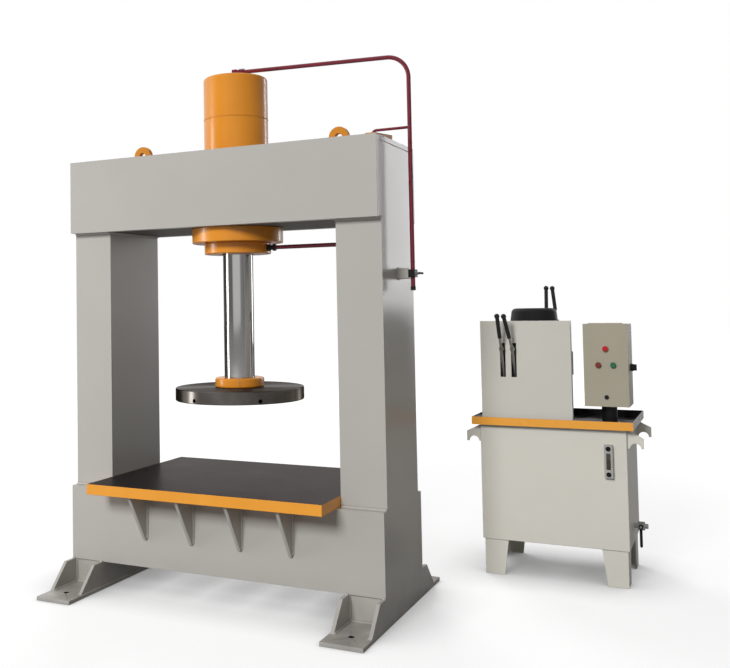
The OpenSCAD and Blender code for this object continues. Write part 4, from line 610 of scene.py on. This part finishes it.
oily = add(tree, "MapRange", {"Value": oil.outputs["Fac"], "From Min": 0.35, "From Max": 0.65})
inside = add(tree, "Mix", {0: oily.outputs[0], 6: linear("#0f0f10"), 7: linear("#232324")}, data_type="RGBA").outputs[2]
tone = add(tree, "Mix", {0: sides, 6: inside, 7: linear("#c4c0b5")}, data_type="RGBA").outputs[2]
tone = add(tree, "Mix", {0: front, 6: tone, 7: linear("#fbaf45")}, data_type="RGBA").outputs[2]
shine = add(tree, "MapRange", {"Value": oily.outputs[0], "To Min": 0.14, "To Max": 0.32})
film = add(tree, "BsdfPrincipled", {"Base Color": tone, "Roughness": shine.outputs[0], "IOR": 1.48})
add(tree, "OutputMaterial", {"Surface": film.outputs[0]})
coat_nodes(tray_finish, "drip_tray")

# Motor: a finned body of cast aluminium and a pressed fan cover, in a nearly black, dull motor paint. The post under
# the control box is painted with them.
motor_enamel = enamel("dark_grey_motor_enamel", "#17181a", "#101112", roughness=0.58, cloud_mm=120, peel_mm=3)
coat_nodes(motor_enamel, "motor_body", "fan_cover", "box_post")
ease(0.8, "motor_body")

# Post bolts: four zinc-plated hexagon screws with washers. They hold the round foot of the control box's post down on
# the tray.
box_low, box_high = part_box("control_box")
post_x, post_y = (box_low.x + box_high.x) / 2, (box_low.y + box_high.y) / 2
post_foot_t, bolt_ring, bolt_count = 0.008, 0.047, 4
post_foot_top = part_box("box_post")[0].z + post_foot_t
post_washer, post_head = (0.009, 0.0016, 24), (0.0075, 0.0055, 6)
shape = bmesh.new()
for k in range(bolt_count):
    angle = (2 * k + 1) * math.pi / bolt_count
    place = (post_x + bolt_ring * math.cos(angle), post_y + bolt_ring * math.sin(angle), post_foot_top)
    turned_stack(shape, place, up, (post_washer, post_head))
piece_from(shape, "post_bolts", plated, "press")

# Valves and pump: sand-cast iron under thin dark paint, with a coarse cast skin. Each valve is a stack of slices,
# pulled together by tie bolts whose nuts show on both ends.
cast_iron = enamel("painted_cast_iron", "#3a3b3d", "#2b2c2e", roughness=0.55, cloud_mm=60, peel_mm=7)
coat_nodes(cast_iron, "front_valve", "rear_valve", "pump")
ease(2.0, "front_valve", "rear_valve")
block_h, block_half, tie_y, tie_z = 0.110, 0.030, 0.018, 0.040
tie_washer, tie_nut, tie_end = (0.008, 0.0016, 24), (0.0068, 0.006, 6), (0.004, 0.004, 16)
shape = bmesh.new()
for name, deep_side in (("front_valve", 1), ("rear_valve", -1)):
    low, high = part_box(name)
    middle_y = high.y - block_half if deep_side > 0 else low.y + block_half
    middle_z = high.z - block_h / 2
    for x, way in ((low.x, -1), (high.x, 1)):
        for rise in (-tie_z, tie_z):
            for along in (-tie_y, tie_y):
                turned_stack(shape, (x, middle_y + along, middle_z + rise), (way, 0, 0), (tie_washer, tie_nut, tie_end))
piece_from(shape, "valve_ties", black_steel, "press")

# Slot shade plate: a folded dark sheet in the motor's paint behind the front levers, painted shade that makes the
# guard's slots look dark. Its foot lies on the front valve, under two blackened socket screws with washers.
plate_h, plate_foot, plate_t, plate_back, plate_edge = 0.130, 0.026, 0.002, 0.030, 0.0003
fold = plate_t * 1.6
screw_inset, screw_back = 0.022, plate_foot * 0.6
screw_washer, screw_head = (0.007, 0.0012, 24), (0.0050, 0.005, 24)
valve_low, valve_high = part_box("front_valve")
plate_y, foot_z = valve_high.y - plate_back, valve_high.z
profile = ((0.0, 0.0), (plate_foot, 0.0), (plate_foot, plate_t), (fold, plate_t), (plate_t, fold), (plate_t, plate_h),
           (0.0, plate_h))
# Painted shade: this dark sheet darkens the guard's slots.
shape = bmesh.new()
loft(shape, [[shape.verts.new((x, plate_y + y, foot_z + z)) for y, z in profile] for x in (valve_low.x, valve_high.x)])
bmesh.ops.bevel(shape, geom=list(shape.edges), offset=plate_edge, segments=1, affect="EDGES")
piece_from(shape, "slot_shade_plate", motor_enamel, "press")
shape = bmesh.new()
for x in (valve_low.x + screw_inset, valve_high.x - screw_inset):
    turned_stack(shape, (x, plate_y + screw_back, foot_z + plate_t), up, (screw_washer, screw_head))
piece_from(shape, "slot_shade_plate_screws", black_steel, "press")


# Levers: bright steel rods on the valves' pivots, with a black plastic grip and knob on the upper part. The grip starts
# at a fixed length up the lever, so the finish changes there.
def lever_finish(name, pivot, lean):
    """Bright steel up to the grip, black plastic above it, measured along a lever that leans from its pivot."""
    grip_start, grain_mm = 0.224, 2
    finish, tree = blank(name)
    place = add(tree, "TexCoord").outputs["Object"]
    from_pivot = add(tree, "VectorMath", {0: place, 1: tuple(pivot)}, operation="SUBTRACT")
    axis = (0.0, -math.sin(lean), math.cos(lean))
    along = add(tree, "VectorMath", {0: from_pivot.outputs[0], 1: axis}, operation="DOT_PRODUCT")
    is_grip = add(tree, "Math", {0: along.outputs["Value"], 1: grip_start}, operation="GREATER_THAN")
    grain = add(tree, "TexNoise", {"Vector": place, "Scale": 1000 / grain_mm, "Detail": 2.0})
    bright = add(tree, "Mix", {0: grain.outputs["Fac"], 6: linear("#9b9a96"), 7: linear("#b9b8b4")}, data_type="RGBA")
    steel = add(tree, "BsdfPrincipled", {"Base Color": bright.outputs[2], "Metallic": 1.0, "Roughness": 0.28})
    tone = add(tree, "Mix", {0: grain.outputs["Fac"], 6: linear("#141415"), 7: linear("#262627")}, data_type="RGBA")
    grip = add(tree, "BsdfPrincipled", {"Base Color": tone.outputs[2], "Roughness": 0.45})
    pick = add(tree, "MixShader", {0: is_grip.outputs[0], 1: steel.outputs[0], 2: grip.outputs[0]})
    add(tree, "OutputMaterial", {"Surface": pick.outputs[0]})
    return finish


front_lean, rear_lean = math.radians(25), math.radians(-5)
pivots = {joint["name"]: Vector(joint["pos_m"]) for joint in frame["joints"] if joint.get("pos_m")}
front_lever = lever_finish("front_lever_steel_and_plastic", pivots["front_left_turn"], front_lean)
rear_lever = lever_finish("rear_lever_steel_and_plastic", pivots["rear_left_turn"], rear_lean)
coat_nodes(front_lever, "front_left_lever", "front_right_lever")
coat_nodes(rear_lever, "rear_left_lever", "rear_right_lever")

# Control box: a box of folded sheet steel, whose door hangs from the box's top edge. Both have a beige powder coat,
# dull, even and finely grained, with the grain drawn coarser than it is.
beige_powder = enamel("beige_powder_coat", "#b4ad9b", "#aca592", roughness=0.48, cloud_mm=260, peel_mm=1.5)
coat_nodes(beige_powder, "control_box", "control_door")
ease(1.2, "control_box", "control_door")


# Lamp, buttons and lock: caps of moulded plastic in holes of the door, the lamp's of clear red and the buttons' glossy
# brown-red and green. The lock's barrel is black.
def cap_plastic(name, shade, deep, roughness):
    """Glossy moulded plastic, a little darker in its moulding marks."""
    flow_mm, plastic_ior = 8, 1.5
    plastic, tree = blank(name)
    place = add(tree, "TexCoord").outputs["Object"]
    flow = add(tree, "TexNoise", {"Vector": place, "Scale": 1000 / flow_mm, "Detail": 2.0})
    tone = add(tree, "Mix", {0: flow.outputs["Fac"], 6: linear(deep), 7: linear(shade)}, data_type="RGBA")
    skin = add(tree, "BsdfPrincipled", {"Base Color": tone.outputs[2], "Roughness": roughness, "IOR": plastic_ior})
    add(tree, "OutputMaterial", {"Surface": skin.outputs[0]})
    return plastic


coat_nodes(cap_plastic("clear_red_lens", "#d8202a", "#b3121c", roughness=0.12), "power_lamp")
coat_nodes(cap_plastic("brown_red_plastic", "#8c3a2e", "#762c22", roughness=0.3), "stop_button")
coat_nodes(cap_plastic("green_plastic", "#2c7a52", "#216142", roughness=0.3), "start_button")
coat_nodes(cap_plastic("black_lock_enamel", "#1c1c1d", "#111112", roughness=0.35), "door_lock")

# Level gauge: a pale, dull frame of cast aluminium on two black hollow screws, with a clear glossy window in its
# recess. The oil stands a little above half way behind the window.
gauge_cast = enamel("cast_aluminium_frame", "#b9b7b2", "#a9a7a2", roughness=0.4, cloud_mm=30, peel_mm=2)
coat_nodes(gauge_cast, "level_gauge")
ease(2.0, "level_gauge")
gauge_low, gauge_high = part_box("level_gauge")
gauge_x, gauge_z = (gauge_low.x + gauge_high.x) / 2, (gauge_low.z + gauge_high.z) / 2
screw_rise, gauge_washer, gauge_head, gauge_end = 0.056, (0.0105, 0.0015, 24), (0.009, 0.006, 6), (0.004, 0.002, 16)
shape = bmesh.new()
for side in (-1, 1):
    turned_stack(shape, (gauge_x, gauge_low.y, gauge_z + side * screw_rise), (0, -1, 0),
                 (gauge_washer, gauge_head, gauge_end))
piece_from(shape, "gauge_screws", black_steel, "press")
window_half_w, window_half_h, glass_sunk, glass_t, glass_round = 0.0088, 0.0358, 0.002, 0.004, 0.0012
oil_rise, streak_mm = 0.010, 12
window, tree = blank("clear_acrylic_over_oil")
place = add(tree, "TexCoord").outputs["Object"]
rise = add(tree, "SeparateXYZ", {"Vector": place}).outputs["Z"]
is_oil = add(tree, "Math", {0: rise, 1: gauge_z + oil_rise}, operation="LESS_THAN")
streak = add(tree, "TexNoise", {"Vector": place, "Scale": 1000 / streak_mm, "Detail": 3.0})
empty = add(tree, "Mix", {0: streak.outputs["Fac"], 6: linear("#34332f"), 7: linear("#4a4944")}, data_type="RGBA")
oil = add(tree, "Mix", {0: streak.outputs["Fac"], 6: linear("#2a2113"), 7: linear("#3c2f1a")}, data_type="RGBA")
tone = add(tree, "Mix", {0: is_oil.outputs[0], 6: empty.outputs[2], 7: oil.outputs[2]}, data_type="RGBA")
pane = add(tree, "BsdfPrincipled", {"Base Color": tone.outputs[2], "Roughness": 0.08, "IOR": 1.49, "Coat Weight": 1.0,
                                    "Coat Roughness": 0.03})
add(tree, "OutputMaterial", {"Surface": pane.outputs[0]})
shape = bmesh.new()
made = bmesh.ops.create_cube(shape, size=1.0)
bmesh.ops.scale(shape, vec=(2 * window_half_w, glass_t, 2 * window_half_h), verts=made["verts"])
bmesh.ops.translate(shape, vec=(gauge_x, gauge_low.y + glass_sunk + glass_t / 2, gauge_z), verts=made["verts"])
bmesh.ops.bevel(shape, geom=list(shape.edges), offset=glass_round, segments=3, affect="EDGES", profile=0.6)
piece_from(shape, "gauge_window", window, "press")

# Drain: a ball valve, screwed into the tank's right side near its bottom. It has the same bright zinc plating as the
# studs of the pipe clips.
coat_nodes(plated, "drain_valve")
